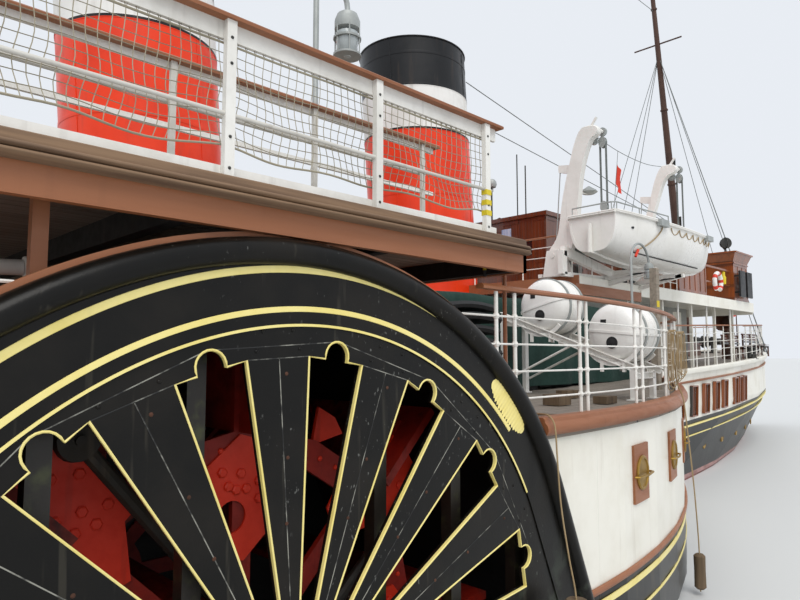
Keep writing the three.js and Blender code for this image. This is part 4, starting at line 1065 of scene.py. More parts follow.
FINISH["funnel"] = (funnel_paint(), "funnel_red")
print("funnel bands at", LINE_FOOT, WHITE_FOOT, BLACK_FOOT)

# %% Funnels
FUNNEL_FOOT = 4.95
FUNNEL_LEAN = math.tan(math.radians(4.5))
FUNNEL_X = {"funnel_aft": 2.73, "funnel_forward": 10.45}


def raked(points, x, foot, lean):
    """Upright points about x = 0 leaned aft about their foot and moved to x."""
    points = np.array(points, float)
    points[:, 0] += x - lean * (points[:, 2] - foot)
    return points


def funnel_parts(profile, x, sides=96):
    points, faces = turned(profile, sides=sides)
    return raked(points, x, FUNNEL_FOOT, FUNNEL_LEAN), faces


wall = [[1.395, 4.95], [1.51, 4.95], [1.51, 5.03], [1.45, 5.05], [1.44, 5.06], [1.44, 11.78],
        [1.462, 11.785], [1.468, 11.8], [1.462, 11.815], [1.43, 11.82], [1.395, 11.81], [1.395, 4.95]]
hoops = [[[1.435, z - 0.04], [1.446, z - 0.036], [1.449, z], [1.446, z + 0.036], [1.435, z + 0.04]]
         for z in (6.2, 7.8, 9.44, 10.56, 11.4)]
for name, x in FUNNEL_X.items():
    turn = np.radians([20, 110, 200, 290])
    seam_feet, seam_heads = (raked(rows_of(1.446 * np.cos(turn), 1.446 * np.sin(turn), z), x, FUNNEL_FOOT,
                                   FUNNEL_LEAN) for z in (5.1, 11.7))
    piece(name + "_drum", "funnel", *[funnel_parts(profile, x) for profile in (wall, *hoops)],
          rods(seam_feet, seam_heads, 0.006, 5), stands_for=(name,))

# %% [markdown]
# Before and behind each paddle box the deck swells out over a sponson whose edge is a parabola in
# plan. Its skin is bent steel: white above, black below, with a brown strake between them, and a
# heavy rounded timber runs along the deck's edge.

# %% The sponson's edge and the ship's sheer
SHEER_X = [-38.0, -22.0, -12.0, 8.4, 15.5, 23.5, 37.0]
SHEER_Z = [3.64, 3.18, 2.99, 2.99, 3.21, 3.495, 4.02]
SPONSON_FULL, SPONSON_TIP = 3.3, 13.7
HULL_HALF, DECK_AMIDSHIPS = 4.6, 2.99


def deck_z(x):
    return np.interp(x, SHEER_X, SHEER_Z)


def sponson_y(x):
    """The half breadth: 4.60 plus 4.04 times one minus the square of the way to the tip."""
    share = np.clip((np.abs(x) - SPONSON_FULL) / (SPONSON_TIP - SPONSON_FULL), 0, 1)
    return HULL_HALF + (FACE_Y - HULL_HALF) * (1 - share ** 2)


def box_clear(z, radius=3.32):
    """Half the length that the paddle box takes up at one height."""
    rise = z - RIM_Z
    if rise > radius * math.sin(FLANK):
        return math.sqrt(radius ** 2 - rise ** 2)
    return radius * math.cos(FLANK) + (radius * math.sin(FLANK) - rise) * math.tan(FLANK)


def sponson_path(z, outset=0.0, count=48, stop=13.45):
    """Points along the port forward sponson that rise with the sheer from one height amidships."""
    xs = line(box_clear(z), stop, count)
    return np.stack([xs, sponson_y(xs) + outset, z + deck_z(xs) - DECK_AMIDSHIPS], 1)


print("sponson edge at x 3.9:", float(sponson_y(3.9)), "box length at deck:", 2 * box_clear(DECK_AMIDSHIPS))

# %% Edge timbers, strakes and lines of the sponsons
toe_round = [[0.052 * math.cos(a), -0.045 + 0.062 * math.sin(a)] for a in line(-math.pi / 2, 0.7, 8)]
toe_profile = [[-0.12, 0.06], [-0.12, -0.107]] + [[0.02 + a, b] for a, b in toe_round] + \
    [[0.035, 0.02], [0.03, 0.05], [0.01, 0.065]]
toe = sweep(sponson_path(3.02, 0.03), toe_profile)
STRAKE_Z = 1.28
strake_round = [[0.0, -0.035], [0.025, -0.03], [0.035, 0.0], [0.025, 0.03], [0.0, 0.035], [-0.02, 0.0]]
strake = sweep(sponson_path(STRAKE_Z), strake_round)
pair("sponson_timbers", "brown", both_ends(toe), both_ends(strake))


def painted_line(path, wide, proud=0.005):
    return sweep(path, oblong(proud, wide / 2))


gold_lines = [painted_line(sponson_path(z), wide) for z, wide in ((1.13, 0.07), (0.80, 0.035))]
pair("sponson_gold", "gold", *map(both_ends, gold_lines))


def sponson_paint():
    """White above the strake and black below it, with faint welds where the plates meet."""
    s = Shader("sponson_plates", 0.3, gloss=0.28)
    patches = s.noise(1.3, 5).ramp(0.42, 0.68)
    white = s.mix(patches, "ece9de", "e2ded1")
    black = s.mix(patches, "0c0d0e", "161818")
    streaks = s.noise(8, 3, (1, 1, 0.07)).ramp(0.6, 0.8)
    stained = s.mix(streaks * 0.22, s.mix(s.z < STRAKE_Z - 0.01, white, black), "8a7a5e")
    s.colour(stained)
    seam = ((s.x / 1.9).fraction() - 0.5).abs().ramp(0.494, 0.5)
    s.bump(s.noise(1.6, 2) * 0.8 + seam * 0.3, 0.008)
    return s.material


FINISH["sponson"] = (sponson_paint(), "topside_white")
print("sponson paint ready")

# %% [markdown]
# Round ports with brass rims are set in brown plates on the sponson's side, and a bent guard bar
# crosses each of them. The plate bends with the skin, so it is a grid on the same surface.

# %% Ports in the sponsons
PORTS = [(4.98, 0.25), (6.62, 0.25), (8.3, 0.25)]


def side_patch(x0, x1, z0, z1, outset, columns=9, rows=3):
    """A thin plate that follows the sponson's side between two places and two heights."""
    xs, zs = np.meshgrid(line(x0, x1, columns), line(z0, z1, rows), indexing="ij")
    ys = sponson_y(xs) + outset
    grid = np.stack([xs, ys, zs], -1)
    rim = np.vstack([grid[:, 0], grid[-1, 1:], grid[-2::-1, -1], grid[0, -2:0:-1]])
    walls = np.vstack([rim, rim - [0, outset + 0.01, 0]])
    return together((grid, grid_faces(columns, rows)), (walls, grid_faces(2, len(rim), True)))


def outward(breadth, x):
    """The way that the side faces at one place, from the slope of its half breadth there."""
    return unit([-float(breadth(x + 0.1) - breadth(x - 0.1)) / 0.2, 1, 0])


plates, rims, panes, guards = [], [], [], []
for x, half_wide in PORTS:
    plates.append(side_patch(x - half_wide, x + half_wide, 1.96, 2.62, 0.02))
    y = float(sponson_y(x)) + 0.02
    out = outward(sponson_y, x)
    rims.append(turned([[0.155, 0], [0.2, 0], [0.2, 0.012], [0.185, 0.026], [0.165, 0.026], [0.155, 0.012]],
                       (x, y, 2.29), out, 28))
    panes.append(turned([[0.16, 0.0], [0.16, 0.008]], (x, y, 2.29), out, 28))
    side = unit(np.cross((0, 0, 1), out))
    centre = np.array([x, y, 2.27])
    bend = ((-0.27, 0.005), (-0.25, 0.05), (0, 0.075), (0.25, 0.05), (0.27, 0.005))
    guards.append(tube([centre + side * along + out * proud for along, proud in bend], 0.014, 8))
pair("port_plates", "brown", *map(both_ends, plates))
pair("port_rims", "brass", *map(both_ends, rims + guards))
pair("port_panes", "port_glass", *map(both_ends, panes))

# %% [markdown]
# The rail on a sponson is round galvanised bar painted white, threaded through balls on the posts,
# under a brown hand rail. Its posts stand in pairs where two lengths meet.

# %% Round-bar railings
RAIL_LEVELS = (0.27, 0.52, 0.77, 1.02)
HAND_RAIL = 1.27


def bar_rail(path_at, posts_at, first, last, levels=RAIL_LEVELS, top=HAND_RAIL, steps=60):
    """Bars, posts, balls and the hand rail above a deck edge that path_at gives at any place. Each
    bar starts at its own place, because some of them end against the paddle box."""
    starts = np.broadcast_to(np.asarray(first, float), (len(levels) + 1,))
    bars_here = []
    for level, start in zip(levels, starts):
        base = path_at(line(start, last, steps))
        base[:, 2] = deck_z(base[:, 0]) + level
        bars_here.append(tube(base, 0.010, 6))
    feet = path_at(np.asarray(posts_at, float))
    heads = feet.copy()
    heads[:, 2] = deck_z(feet[:, 0]) + top - 0.03
    posts_here = rods(feet, heads, 0.019, 8)
    ball = turned([[0.004, -0.032], [0.024, -0.022], [0.033, 0], [0.024, 0.022], [0.004, 0.032]], sides=8)
    places = [[x, y, deck_z(x) + level] for x, y, z in feet for level in levels
              if deck_z(x) + level > z + 0.05]
    balls_here = stamped(ball, places)
    shoe = turned([[0.05, 0.0], [0.05, 0.012], [0.026, 0.03], [0.02, 0.06]], sides=8)
    shoes_here = stamped(shoe, feet)
    cap_path = path_at(line(starts[-1], last, steps))
    cap_path[:, 2] = deck_z(cap_path[:, 0]) + top
    cap = sweep(cap_path, [[-0.042, -0.018], [0.042, -0.018], [0.046, 0.004], [0.026, 0.026],
                           [-0.026, 0.026], [-0.046, 0.004]])
    return [*bars_here, posts_here, balls_here, shoes_here], cap


def sponson_edge(xs):
    """The line of the rail: on the deck, or on the paddle box's crown where that stands higher."""
    xs = np.asarray(xs, float)
    crown = RIM_Z + np.sqrt(np.maximum(3.31 ** 2 - xs ** 2, 0))
    floor_z = np.where(xs < 2.75, np.maximum(crown, deck_z(xs)), deck_z(xs))
    return np.stack([xs, sponson_y(xs) - 0.08, floor_z + 0.005], 1)


fore_posts = [2.18, 2.46, 3.62, 3.77, 5.15, 5.42, 6.75, 6.95, 8.4, 8.6, 10.0, 10.2, 11.6, 11.8, 13.1]
starts = [box_clear(DECK_AMIDSHIPS + level, 3.33) for level in RAIL_LEVELS] + [1.95]
fore_bars, fore_cap = bar_rail(sponson_edge, fore_posts, starts, 13.3)
print("sponson rail has", len(fore_posts), "posts each side")

# %% [markdown]
# The hull's form is a set of waterlines, each a parallel middle with a pointed bow and a fuller
# stern. Painted lines follow the sheer at a set drop below the deck, so each of their points
# needs the half breadth of the hull at its own place and height.

# %% The hull's half breadth
LEVELS = np.array([  # z, half beam, bow start, end, power, stern start, end, power
    [-1.95, 2.6, 1.5, 32.4, 1.6, -2.5, -34.1, 1.5],
    [-1.5, 4.2, 3.0, 33.5, 1.7, -5.0, -34.15, 1.6],
    [-0.7, 4.56, 6.0, 34.25, 2.0, -8.0, -34.2, 1.9],
    [-0.3, 4.6, 7.0, 34.55, 2.2, -10.0, -34.25, 2.0],
    [0.15, 4.6, 8.5, 34.85, 2.4, -13.0, -36.2, 2.4],
    [2.2, 4.6, 12.8, 35.9, 3.1, -15.5, -37.2, 3.4],
    [4.8, 4.6, 12.8, 35.9, 3.1, -15.5, -37.2, 3.4],
])


def level_breadth(x, level):
    """Full breadth amidships; towards an end it falls by a power of the way to that end."""
    _, half_beam, bow, bow_end, bow_power, stern, stern_end, stern_power = level
    fore = np.clip((x - bow) / (bow_end - bow), 0, 1) ** bow_power
    aft = np.clip((stern - x) / (stern - stern_end), 0, 1) ** stern_power
    return half_beam * (1 - np.where(x > bow, fore, aft))


def hull_y(x, z):
    """Half breadth at any place and height, straight between the two nearest waterlines."""
    x, z = np.broadcast_arrays(np.asarray(x, float), np.asarray(z, float))
    rows = np.stack([level_breadth(x, level) for level in LEVELS])
    k = np.clip(np.searchsorted(LEVELS[:, 0], z) - 1, 0, len(LEVELS) - 2)
    low, high = LEVELS[k, 0], LEVELS[k + 1, 0]
    share = (z - low) / (high - low)
    take = np.take_along_axis
    return take(rows, k[None], 0)[0] * (1 - share) + take(rows, k[None] + 1, 0)[0] * share


def side_path(drop, x0, x1, count=120):
    """Points on the port side at a set drop below the deck."""
    xs = line(x0, x1, count)
    z = deck_z(xs) - drop
    return np.stack([xs, hull_y(xs, z), z], 1)


print("half breadth at x 30, z 2:", round(float(hull_y(30.0, 2.0)), 2))

# %% Painted lines, rubbing strakes and the deck's edge
hull_lines = ((1.62, 13.0, 34.6, 0.05), (1.92, 13.0, 34.3, 0.03), (1.62, -35.6, -13.0, 0.05),
              (1.92, -35.2, -13.0, 0.03))
hull_gold = [painted_line(side_path(drop, x0, x1), wide, 0.045) for drop, x0, x1, wide in hull_lines]
pair("hull_gold", "gold", *hull_gold)
belt = [[-0.02, -0.03], [0.03, -0.024], [0.042, 0.0], [0.03, 0.024], [-0.02, 0.03]]
strakes = [sweep(side_path(0.36, x0, x1), belt) for x0, x1 in ((13.2, 35.2), (-36.3, -13.2))]
edge_band = [[-0.03, -0.11], [0.10, -0.11], [0.115, -0.06], [0.115, 0.0], [0.09, 0.035], [-0.03, 0.035]]
deck_edges = [sweep(side_path(0.0, x0, x1), edge_band) for x0, x1 in ((13.2, 35.75), (-36.9, -13.2))]
pair("deck_edge", "white", *deck_edges)
pair("side_strakes", "brown", *strakes)


BOOT_FOOT, BOOT_HEAD = 0.06, 0.20


def hull_paint():
    """Black with a grey bloom, a pink boot-top at the waterline and dull red below it."""
    s = Shader("hull_plates", 0.36, gloss=0.35)
    patches = s.noise(0.9, 5).ramp(0.4, 0.7)
    black = s.mix(patches, "101213", "1c2021")
    streaks = s.noise(5, 3, (1, 1, 0.08)).ramp(0.56, 0.8)
    dirty = s.mix(streaks * 0.3, black, "59605c")
    boot = s.mix(s.noise(3, 4).ramp(0.35, 0.7), "b98a86", "8d5b52")
    red = s.mix(patches, "7c3226", "5d271e")
    line_mask = (s.z < BOOT_HEAD) * (s.z > BOOT_FOOT)
    s.colour(s.mix(line_mask, s.mix(s.z < BOOT_FOOT, dirty, red), boot))
    plates = ((s.x / 2.4).fraction() - 0.5).abs().ramp(0.493, 0.5)
    s.bump(s.noise(1.2, 2) * 0.9 + plates * 0.3, 0.010)
    return s.material


FINISH["hull"] = (hull_paint(), "hull_black")
print("hull paint ready")

# %% [markdown]
# The saloon windows along the white side are tall, with dark glass in brown frames. Each frame
# bends with the side, so it is made from short beams between points on the hull.

# %% Windows and ports along the ship's side
WINDOW_X = [14.75, 15.9, 16.95, 17.95, 18.9, 19.75, 20.95, 21.55, 22.15, -14.4, -15.6, -16.8, -18.0,
            -19.2, -20.4]
frames, window_panes = [], []
for x in WINDOW_X:
    z1 = deck_z(x) - 0.50
    z0 = z1 - 0.86
    corners = np.array([[x - 0.21, z0], [x + 0.21, z0], [x + 0.21, z1], [x - 0.21, z1]])
    ring_points = np.stack([corners[:, 0], hull_y(corners[:, 0], corners[:, 1]) + 0.04, corners[:, 1]], 1)
    frames.append(beams(ring_points, np.roll(ring_points, -1, 0), 0.04, 0.09, (0.02, 1, 0.03)))
    mullion = (ring_points[[0, 3]] + ring_points[[1, 2]]) / 2
    frames.append(beams(mullion[:1], mullion[1:], 0.03, 0.04, (0.02, 1, 0.03)))
    window_panes.append((np.vstack([ring_points - [0, 0.006, 0], ring_points - [0, 0.03, 0]]),
                         grid_faces(2, 4, True) + [[0, 1, 2, 3], [4, 5, 6, 7]]))
pair("saloon_window_frames", "varnish_fore", *frames, smooth=False)
pair("saloon_window_panes", "glass", *window_panes, smooth=False)
HULL_PORT_Z = 0.95
hull_ports, hull_port_panes = [], []
for x in (16.4, 18.3, 20.4, 22.6, 24.8, 27.0, -16.0, -18.4, -20.8, -23.2, -25.6, -28.0, -30.2):
    place = (x, float(hull_y(x, HULL_PORT_Z)), HULL_PORT_Z)
    out = outward(lambda at: hull_y(at, HULL_PORT_Z), x)
    hull_ports.append(turned([[0.11, -0.02], [0.15, -0.02], [0.15, 0.012], [0.13, 0.022], [0.11, 0.012]],
                             place, out, 20))
    hull_port_panes.append(turned([[0.115, -0.02], [0.115, 0.004]], place, out, 20))
pair("hull_port_rims", "brass", *hull_ports)
pair("hull_port_panes", "glass", *hull_port_panes)

# %% Rails along the whole deck
def side_edge(xs):
    xs = np.asarray(xs, float)
    return np.stack([xs, hull_y(xs, 3.5) - 0.06, deck_z(xs) + 0.005], 1)


side_posts = [13.6, 14.9, 16.2, 17.5, 18.2, 19.3, 20.1, 21.0, 22.0, 23.1, 24.2, 25.3, 26.4, 27.5, 28.6,
              29.7, 30.8, 31.9, 33.0, 34.0, 34.9]
side_bars, side_cap = bar_rail(side_edge, side_posts, 13.3, 35.2, steps=90)
aft_posts = [-13.4 - 1.15 * k for k in range(20)]
aft_bars, aft_cap = bar_rail(side_edge, aft_posts, -13.3, -36.6, steps=90)
pair("rail_bars", "white_wood", *map(both_ends, fore_bars), *side_bars, *aft_bars,
     stands_for=("rail_forward", "rail_aft"))
pair("rail_caps", "brown", both_ends(fore_cap), side_cap, aft_cap)

# %% [markdown]
# A lifeboat's hull is a skin stretched over stations: each station has a half beam, a rise of the
# keel and a rise of the sheer, and its section bulges from keel to gunwale. The three values are
# smooth curves along the boat, so the whole skin is one grid of stations and section points.

# %% The lifeboat's skin
BOAT_X0, BOAT_X1, BOAT_Y, BOAT_HALF = 10.2, 16.4, 5.15, 0.92
BOAT_KEEL, BOAT_GUNWALE = 5.76, 6.66
BOAT_U = [0.0, 0.08, 0.2, 0.35, 0.5, 0.65, 0.8, 0.9, 0.97, 1.0]
BOAT_BEAM = [0.60, 0.74, 0.9, 1.0, 1.0, 0.93, 0.72, 0.47, 0.18, 0.03]
BOAT_RISE = [0.16, 0.09, 0.03, 0.0, 0.0, 0.01, 0.07, 0.17, 0.33, 0.48]
BOAT_SHEER = [0.10, 0.07, 0.03, 0.0, 0.0, 0.02, 0.07, 0.12, 0.17, 0.2]


def smooth_curve(at, places, values):
    """A natural-looking curve through the values: linear steps softened by a running average."""
    fine = line(0, 1, 401)
    raw = np.interp(fine, places, values)
    padded = np.pad(raw, 12, mode="reflect", reflect_type="odd")
    soft = np.convolve(padded, np.hanning(25) / np.hanning(25).sum(), mode="valid")
    return np.interp(at, fine, soft)


def boat_skin(shrink=0.0, low=0.0, rows=61, half=15):
    """Section points: y grows as the sine and z as one minus the cosine of a quarter turn, with
    powers that make the floor flat and the topside almost upright."""
    u = line(0.002, 0.998, rows)
    beam = np.maximum(smooth_curve(u, BOAT_U, BOAT_BEAM) * BOAT_HALF - shrink, 0.004)
    depth = BOAT_GUNWALE - BOAT_KEEL
    keel = BOAT_KEEL + depth * smooth_curve(u, BOAT_U, BOAT_RISE) + low
    top = BOAT_GUNWALE + depth * smooth_curve(u, BOAT_U, BOAT_SHEER)
    turn = line(-1, 1, 2 * half + 1) * math.pi / 2
    across = np.sign(turn) * np.abs(np.sin(turn)) ** 0.72
    up = (1 - np.cos(turn)) ** 1.25
    stem = 0.35 * np.clip((u - 0.9) / 0.1, 0, 1) ** 2
    x = BOAT_X0 + (BOAT_X1 - BOAT_X0) * u
    xs = x[:, None] - stem[:, None] * (1 - up[None]) * 0.9
    ys = BOAT_Y + beam[:, None] * across[None]
    zs = keel[:, None] + (top - keel)[:, None] * up[None]
    return np.stack([xs, ys, zs], -1)


def boat_shell():
    """Outer skin, inner skin and the gunwale between them, closed at the transom and the stem."""
    outer = boat_skin()
    inner = boat_skin(shrink=0.04, low=0.10)
    loop = np.concatenate([outer, inner[:, ::-1]], 1)
    return loop, tube_faces(*loop.shape[:2])


skin = boat_skin()
transom = slab(skin[0] + [0.01, 0, 0], (0.04, 0, 0))
print("boat skin", skin.shape, "gunwale from", skin[0, -1].round(2), "to", skin[-1, -1].round(2))

# %% Fenders, benches and fittings of the lifeboats
fender = [[-0.01, -0.05], [0.035, -0.05], [0.05, -0.035], [0.035, -0.018], [0.05, 0.0], [0.04, 0.02],
          [-0.03, 0.025], [-0.04, 0.0]]
port_edge = sweep(skin[:, -1] + [0, 0.005, -0.02], fender)
far_edge = sweep(skin[::-1, 0] + [0, -0.005, -0.02], fender)
aft_edge = sweep(np.linspace(skin[0, 0], skin[0, -1], 5) + [-0.01, 0, -0.02], fender)
inner_skin = boat_skin(shrink=0.05, low=0.1)
thwarts = (10, 22, 34, 46)
benches = beams(inner_skin[thwarts, 9], inner_skin[thwarts, -10], 0.26, 0.035)
keel_bar = sweep(skin[:, 15] - [0, 0, 0.01], [[-0.03, -0.035], [0.03, -0.035], [0.03, 0.03], [-0.03, 0.03]])
bilge = [tube(skin[8:44, k] + [0, 0.01 * s, -0.012], 0.014, 6) for k, s in ((9, -1), (21, 1))]
scallops = []
for first in range(19, 55, 4):
    a, b = skin[first, -1] + [0, 0.02, -0.11], skin[first + 4, -1] + [0, 0.02, -0.11]
    share = line(0, 1, 9)[:, None]
    drop = 0.13 * (1 - (2 * share - 1) ** 2)
    scallops.append(a * (1 - share) + b * share + drop * [0, -0.25, -1])
scallops = np.vstack(scallops)
grab_lines = [tube(scallops, 0.011, 6), tube(scallops * [1, -1, 1] + [0, 2 * BOAT_Y, 0], 0.011, 6)]
corner = skin[0, -1]
rail_run = np.array([corner + [0.05, -1.05, 0.17], corner + [0.02, -0.1, 0.17], corner + [0.1, -0.02, 0.17],
                     corner + [1.0, 0.06, 0.16], corner + [2.2, 0.2, 0.14]])
stern_rail = [tube(rail_run, 0.016, 8), rods(rail_run - [0, 0, 0.17], rail_run, 0.013, 6)]
rudder_side = ((0.02, 6.5), (0.02, 5.88), (0.16, 5.86), (0.12, 6.5))
rudder_plate = slab([[BOAT_X0 - aft, BOAT_Y - 0.02, z] for aft, z in rudder_side], (0, 0.04, 0))
pads = [blocks([[11.55, BOAT_Y + 0.86, 6.53], [11.95, BOAT_Y + 0.97, 6.68]],
               [[14.4, BOAT_Y + 0.84, 6.55], [14.75, BOAT_Y + 0.93, 6.68]])]
hooks = [turned([[0.03, 6.1], [0.03, 6.72], [0.06, 6.74], [0.06, 6.8], [0.02, 6.84]], (x, BOAT_Y, 0),
                sides=12) for x in (10.81, 15.06)]
strap_path = skin[(16, 15, 13, 11, 9), (-1, -3, -5, -7, -9)] + [0, 0.02, 0.0]
gripe = tube(curve(strap_path, 5), 0.014, 6)
gripe_end = rods([strap_path[-1]], [strap_path[-1] + [-0.1, -0.02, -0.16]], 0.03, 8)
port_hole = turned([[0.0, 0], [0.045, 0], [0.05, 0.01], [0.0, 0.012]], (10.75, BOAT_Y + 0.66, 6.42),
                   (-0.25, 1, 0.1), 16)

# %% [markdown]
# Each boat hangs in its davits from two falls. A fall is four parts of rope between a block under
# the davit's head and a block on the boat's hook, so it is drawn as ropes between two blocks.

# %% Falls and blocks
HEAD_PIN_Z = 8.70
FALL_X = (10.81, 15.06)


def block_at(x, z, height=0.26):
    """A pulley block: two oval cheeks with a sheave between them."""
    turn = line(0, 2 * math.pi, 17)[:-1]
    oval = np.stack([np.zeros(16), 0.085 * np.cos(turn), height / 2 * np.sin(turn)], 1)
    cheeks = [slab(oval + [x + dx, BOAT_Y, z], (0.012, 0, 0)) for dx in (-0.05, 0.038)]
    sheave = turned([[0.02, -0.036], [0.08, -0.036], [0.07, -0.01], [0.07, 0.01], [0.08, 0.036],
                     [0.02, 0.036]], (x, BOAT_Y, z), (1, 0, 0), 16)
    return together(*cheeks, sheave)


fall_ropes, fall_blocks, fall_eyes = [], [], []
for x in FALL_X:
    fall_eyes.append(turned([[0.055, -0.03], [0.1, -0.03], [0.1, 0.03], [0.055, 0.03], [0.055, -0.03]],
                            (x, BOAT_Y, HEAD_PIN_Z), (1, 0, 0), 16))
    fall_blocks += [block_at(x, HEAD_PIN_Z - 0.24), block_at(x, 6.98)]
    for dy, dx in ((-0.07, -0.02), (-0.07, 0.025), (0.07, -0.02), (0.07, 0.025)):
        fall_ropes.append(rods([x + dx, BOAT_Y + dy, 7.0], [x + dx, BOAT_Y + dy, HEAD_PIN_Z - 0.22],
                               0.014, 6))
BOAT_PIECES = {
    "lifeboat_skin": ("boat", [boat_shell(), transom, keel_bar, rudder_plate, benches]),
    "lifeboat_fender": ("davit", [port_edge, far_edge, aft_edge]),
    "lifeboat_lines": ("rope", grab_lines),
    "lifeboat_fittings": ("galvanised", stern_rail + pads + hooks),
    "lifeboat_dark": ("rubber", [port_hole] + bilge),
    "lifeboat_strap": ("rope", [gripe]),
    "lifeboat_gripe": ("buoy_red", [gripe_end]),
    "falls": ("wire", fall_ropes),
    "fall_blocks": ("galvanised", fall_blocks + fall_eyes),
}
for side, word in SIDES:
    for name, (finish, parts) in BOAT_PIECES.items():
        solid = ("lifeboat_" + word,) if name == "lifeboat_skin" else ()
        piece(f"{name}_{word}", finish, *on_side(parts, side), body="boat_" + word, stands_for=solid)

# %% [markdown]
# A davit arm is a blade of welded plate: two faces with a narrow wall between them, curved like a
# drawn bow. Its outline is smoothed by cutting its corners twice.

# %% Davit arms
DAVIT_X = (10.55, 14.80)
PIVOT_Y, PIVOT_Z = 4.05, 5.95
BLADE = [(-0.19, -0.15), (0.19, -0.15), (0.32, 0.25), (0.335, 0.76), (0.43, 1.30), (0.61, 1.90),
         (0.84, 2.57), (1.16, 2.64), (1.16, 2.81), (0.96, 2.87), (0.67, 2.85), (0.33, 1.65), (0.13, 1.05),
         (0.05, 0.50), (-0.06, 0.20), (-0.19, 0.08)]


def corners_cut(outline, rounds=2):
    """Each round puts two points on every side, a quarter in from its ends (Chaikin's rule)."""
    loop = np.asarray(outline, float)
    for _ in range(rounds):
        after = np.roll(loop, -1, 0)
        loop = np.stack([0.75 * loop + 0.25 * after, 0.25 * loop + 0.75 * after], 1).reshape(-1, 2)
    return loop


def blade(x, outline, thick, inset=0.0):
    """A plate across the ship at one x, with eased edges: the rim of each face is drawn in."""
    loop = corners_cut(outline)
    middle = loop.mean(0)
    small = middle + (loop - middle) * (1 - inset)
    layers = [(-thick / 2, small), (-thick / 2 + 0.02, loop), (thick / 2 - 0.02, loop), (thick / 2, small)]
    rings = [rows_of(x + dx + 0 * edge[:, 0], *(edge + [PIVOT_Y, PIVOT_Z]).T) for dx, edge in layers]
    return np.vstack(rings), tube_faces(4, len(loop))


BLADE_AFT = [(-0.19, -0.15), (0.24, -0.15), (0.48, 0.15), (0.58, 0.6), (0.62, 1.05), (0.68, 1.6),
             (0.78, 2.1), (0.96, 2.57), (1.16, 2.64), (1.16, 2.81), (0.96, 2.87), (0.67, 2.85),
             (0.37, 1.85), (0.23, 1.25), (0.17, 0.85), (0.1, 0.4), (-0.19, 0.08)]
arm_parts, arm_dark = [], []
for x, outline in zip(DAVIT_X, (BLADE_AFT, BLADE)):
    arm_parts.append(blade(x, outline, 0.18, 0.012))
    arm_parts.append(rods([x, BOAT_Y, HEAD_PIN_Z], [x + 0.33, BOAT_Y, HEAD_PIN_Z], 0.045, 16))
    arm_parts.append(turned([[0.02, -0.11], [0.15, -0.11], [0.15, 0.11], [0.02, 0.11]],
                            (x, PIVOT_Y, PIVOT_Z), (1, 0, 0), 20))
    spur = [[x - 0.03, 4.66, 7.99], [x - 0.03, 4.17, 8.07], [x - 0.03, 4.17, 7.9], [x - 0.03, 4.62, 7.78]]
    arm_parts.append(slab(spur, (0.06, 0, 0)))
    arm_parts.append(rods([x, 4.95, 8.72], [x, 5.15, 8.98], 0.03, 8))
    arm_dark.append(turned([[0.01, -0.05], [0.1, -0.05], [0.08, 0], [0.1, 0.05], [0.01, 0.05]],
                           (x + 0.16, 4.98, 8.52), (1, 0, 0), 16))
    arm_dark.append(rods([x, 4.2, 7.92], [x, 4.04, 6.05], 0.014, 6))
for side, word in SIDES:
    body = "davits_" + word
    piece("davit_blades_" + word, "davit", *on_side(arm_parts, side), body=body,
          stands_for=("davit_aft_" + word, "davit_forward_" + word))
    piece("davit_sheaves_" + word, "galvanised", *on_side(arm_dark, side), body=body)

# %% [markdown]
# Each davit turns on a pin between two cheeks. Triangular frames of channel stand at the deck's edge
# and take the load along the ship, and a winch and a grey case stand between them.

# %% Davit braces, winch and cradle
braces = [blocks([[10.45, 3.61, 5.465], [14.9, 3.72, 5.55]])]
for x, reach in ((10.2, 3.0), (14.50, -1.2)):
    top, foot, toe_end = [x, 4.42, 6.0], [x, 4.42, 5.47], [x + reach, 4.42, 5.55]
    braces.append(beams(top, toe_end, 0.12, 0.22, (0, 0, 1)))
    braces.append(beams(foot, toe_end, 0.12, 0.1, (0, 0, 1)))
    braces.append(beams(top, foot, 0.12, 0.2, (1, 0, 0)))
for x in DAVIT_X:
    for near in (-0.175, 0.125):
        cheek = [[x + near, 3.79, 5.465], [x + near, 4.4, 5.465], [x + near, 4.2, 6.07],
                 [x + near, 3.9, 6.07]]
        braces.append(slab(cheek, (0.05, 0, 0)))
    braces.append(rods([x - 0.19, PIVOT_Y, PIVOT_Z], [x + 0.19, PIVOT_Y, PIVOT_Z], 0.06, 20))
chocks = []
for x in (12.0, 13.6):
    chocks.append(beams([[x, 4.5, 5.5], [x, 5.7, 5.62]], [[x, 5.75, 5.62], [x, 4.5, 5.35]], 0.09, 0.09,
                        (1, 0, 0)))
    chocks.append(beams([x, 4.75, 5.62], [x, 5.55, 5.62], 0.16, 0.10, (0, 0, 1)))
pair("davit_frames", "davit", *braces, smooth=False, stands_for=both("davit_frame"))
pair("boat_chocks", "davit", *chocks, smooth=False)
winch = [turned([[0.02, -0.2], [0.13, -0.2], [0.15, -0.17], [0.15, 0.05], [0.10, 0.09], [0.10, 0.2],
                 [0.02, 0.22]], (11.9, 3.75, 5.78), (1, 0, 0), 20),
         blocks([[11.7, 3.6, 5.46], [12.1, 3.9, 5.62]])]
pair("davit_winches", "iron", *winch)
case = blocks([[10.66, 4.2, 5.94], [11.3, 4.38, 6.38]], [[10.74, 4.26, 5.5], [10.8, 4.32, 5.94]],
              [[11.16, 4.26, 5.5], [11.22, 4.32, 5.94]])
pair("davit_cases", "galvanised", case, smooth=False)

# %% [markdown]
# A raft packs into a moulded shell: two half drums that meet on a raised seam along their length,
# with ribs round them and flat straps over all. Both shells lie on a rack of channel bars that
# slopes outboard, so that they roll clear when the straps are let go.

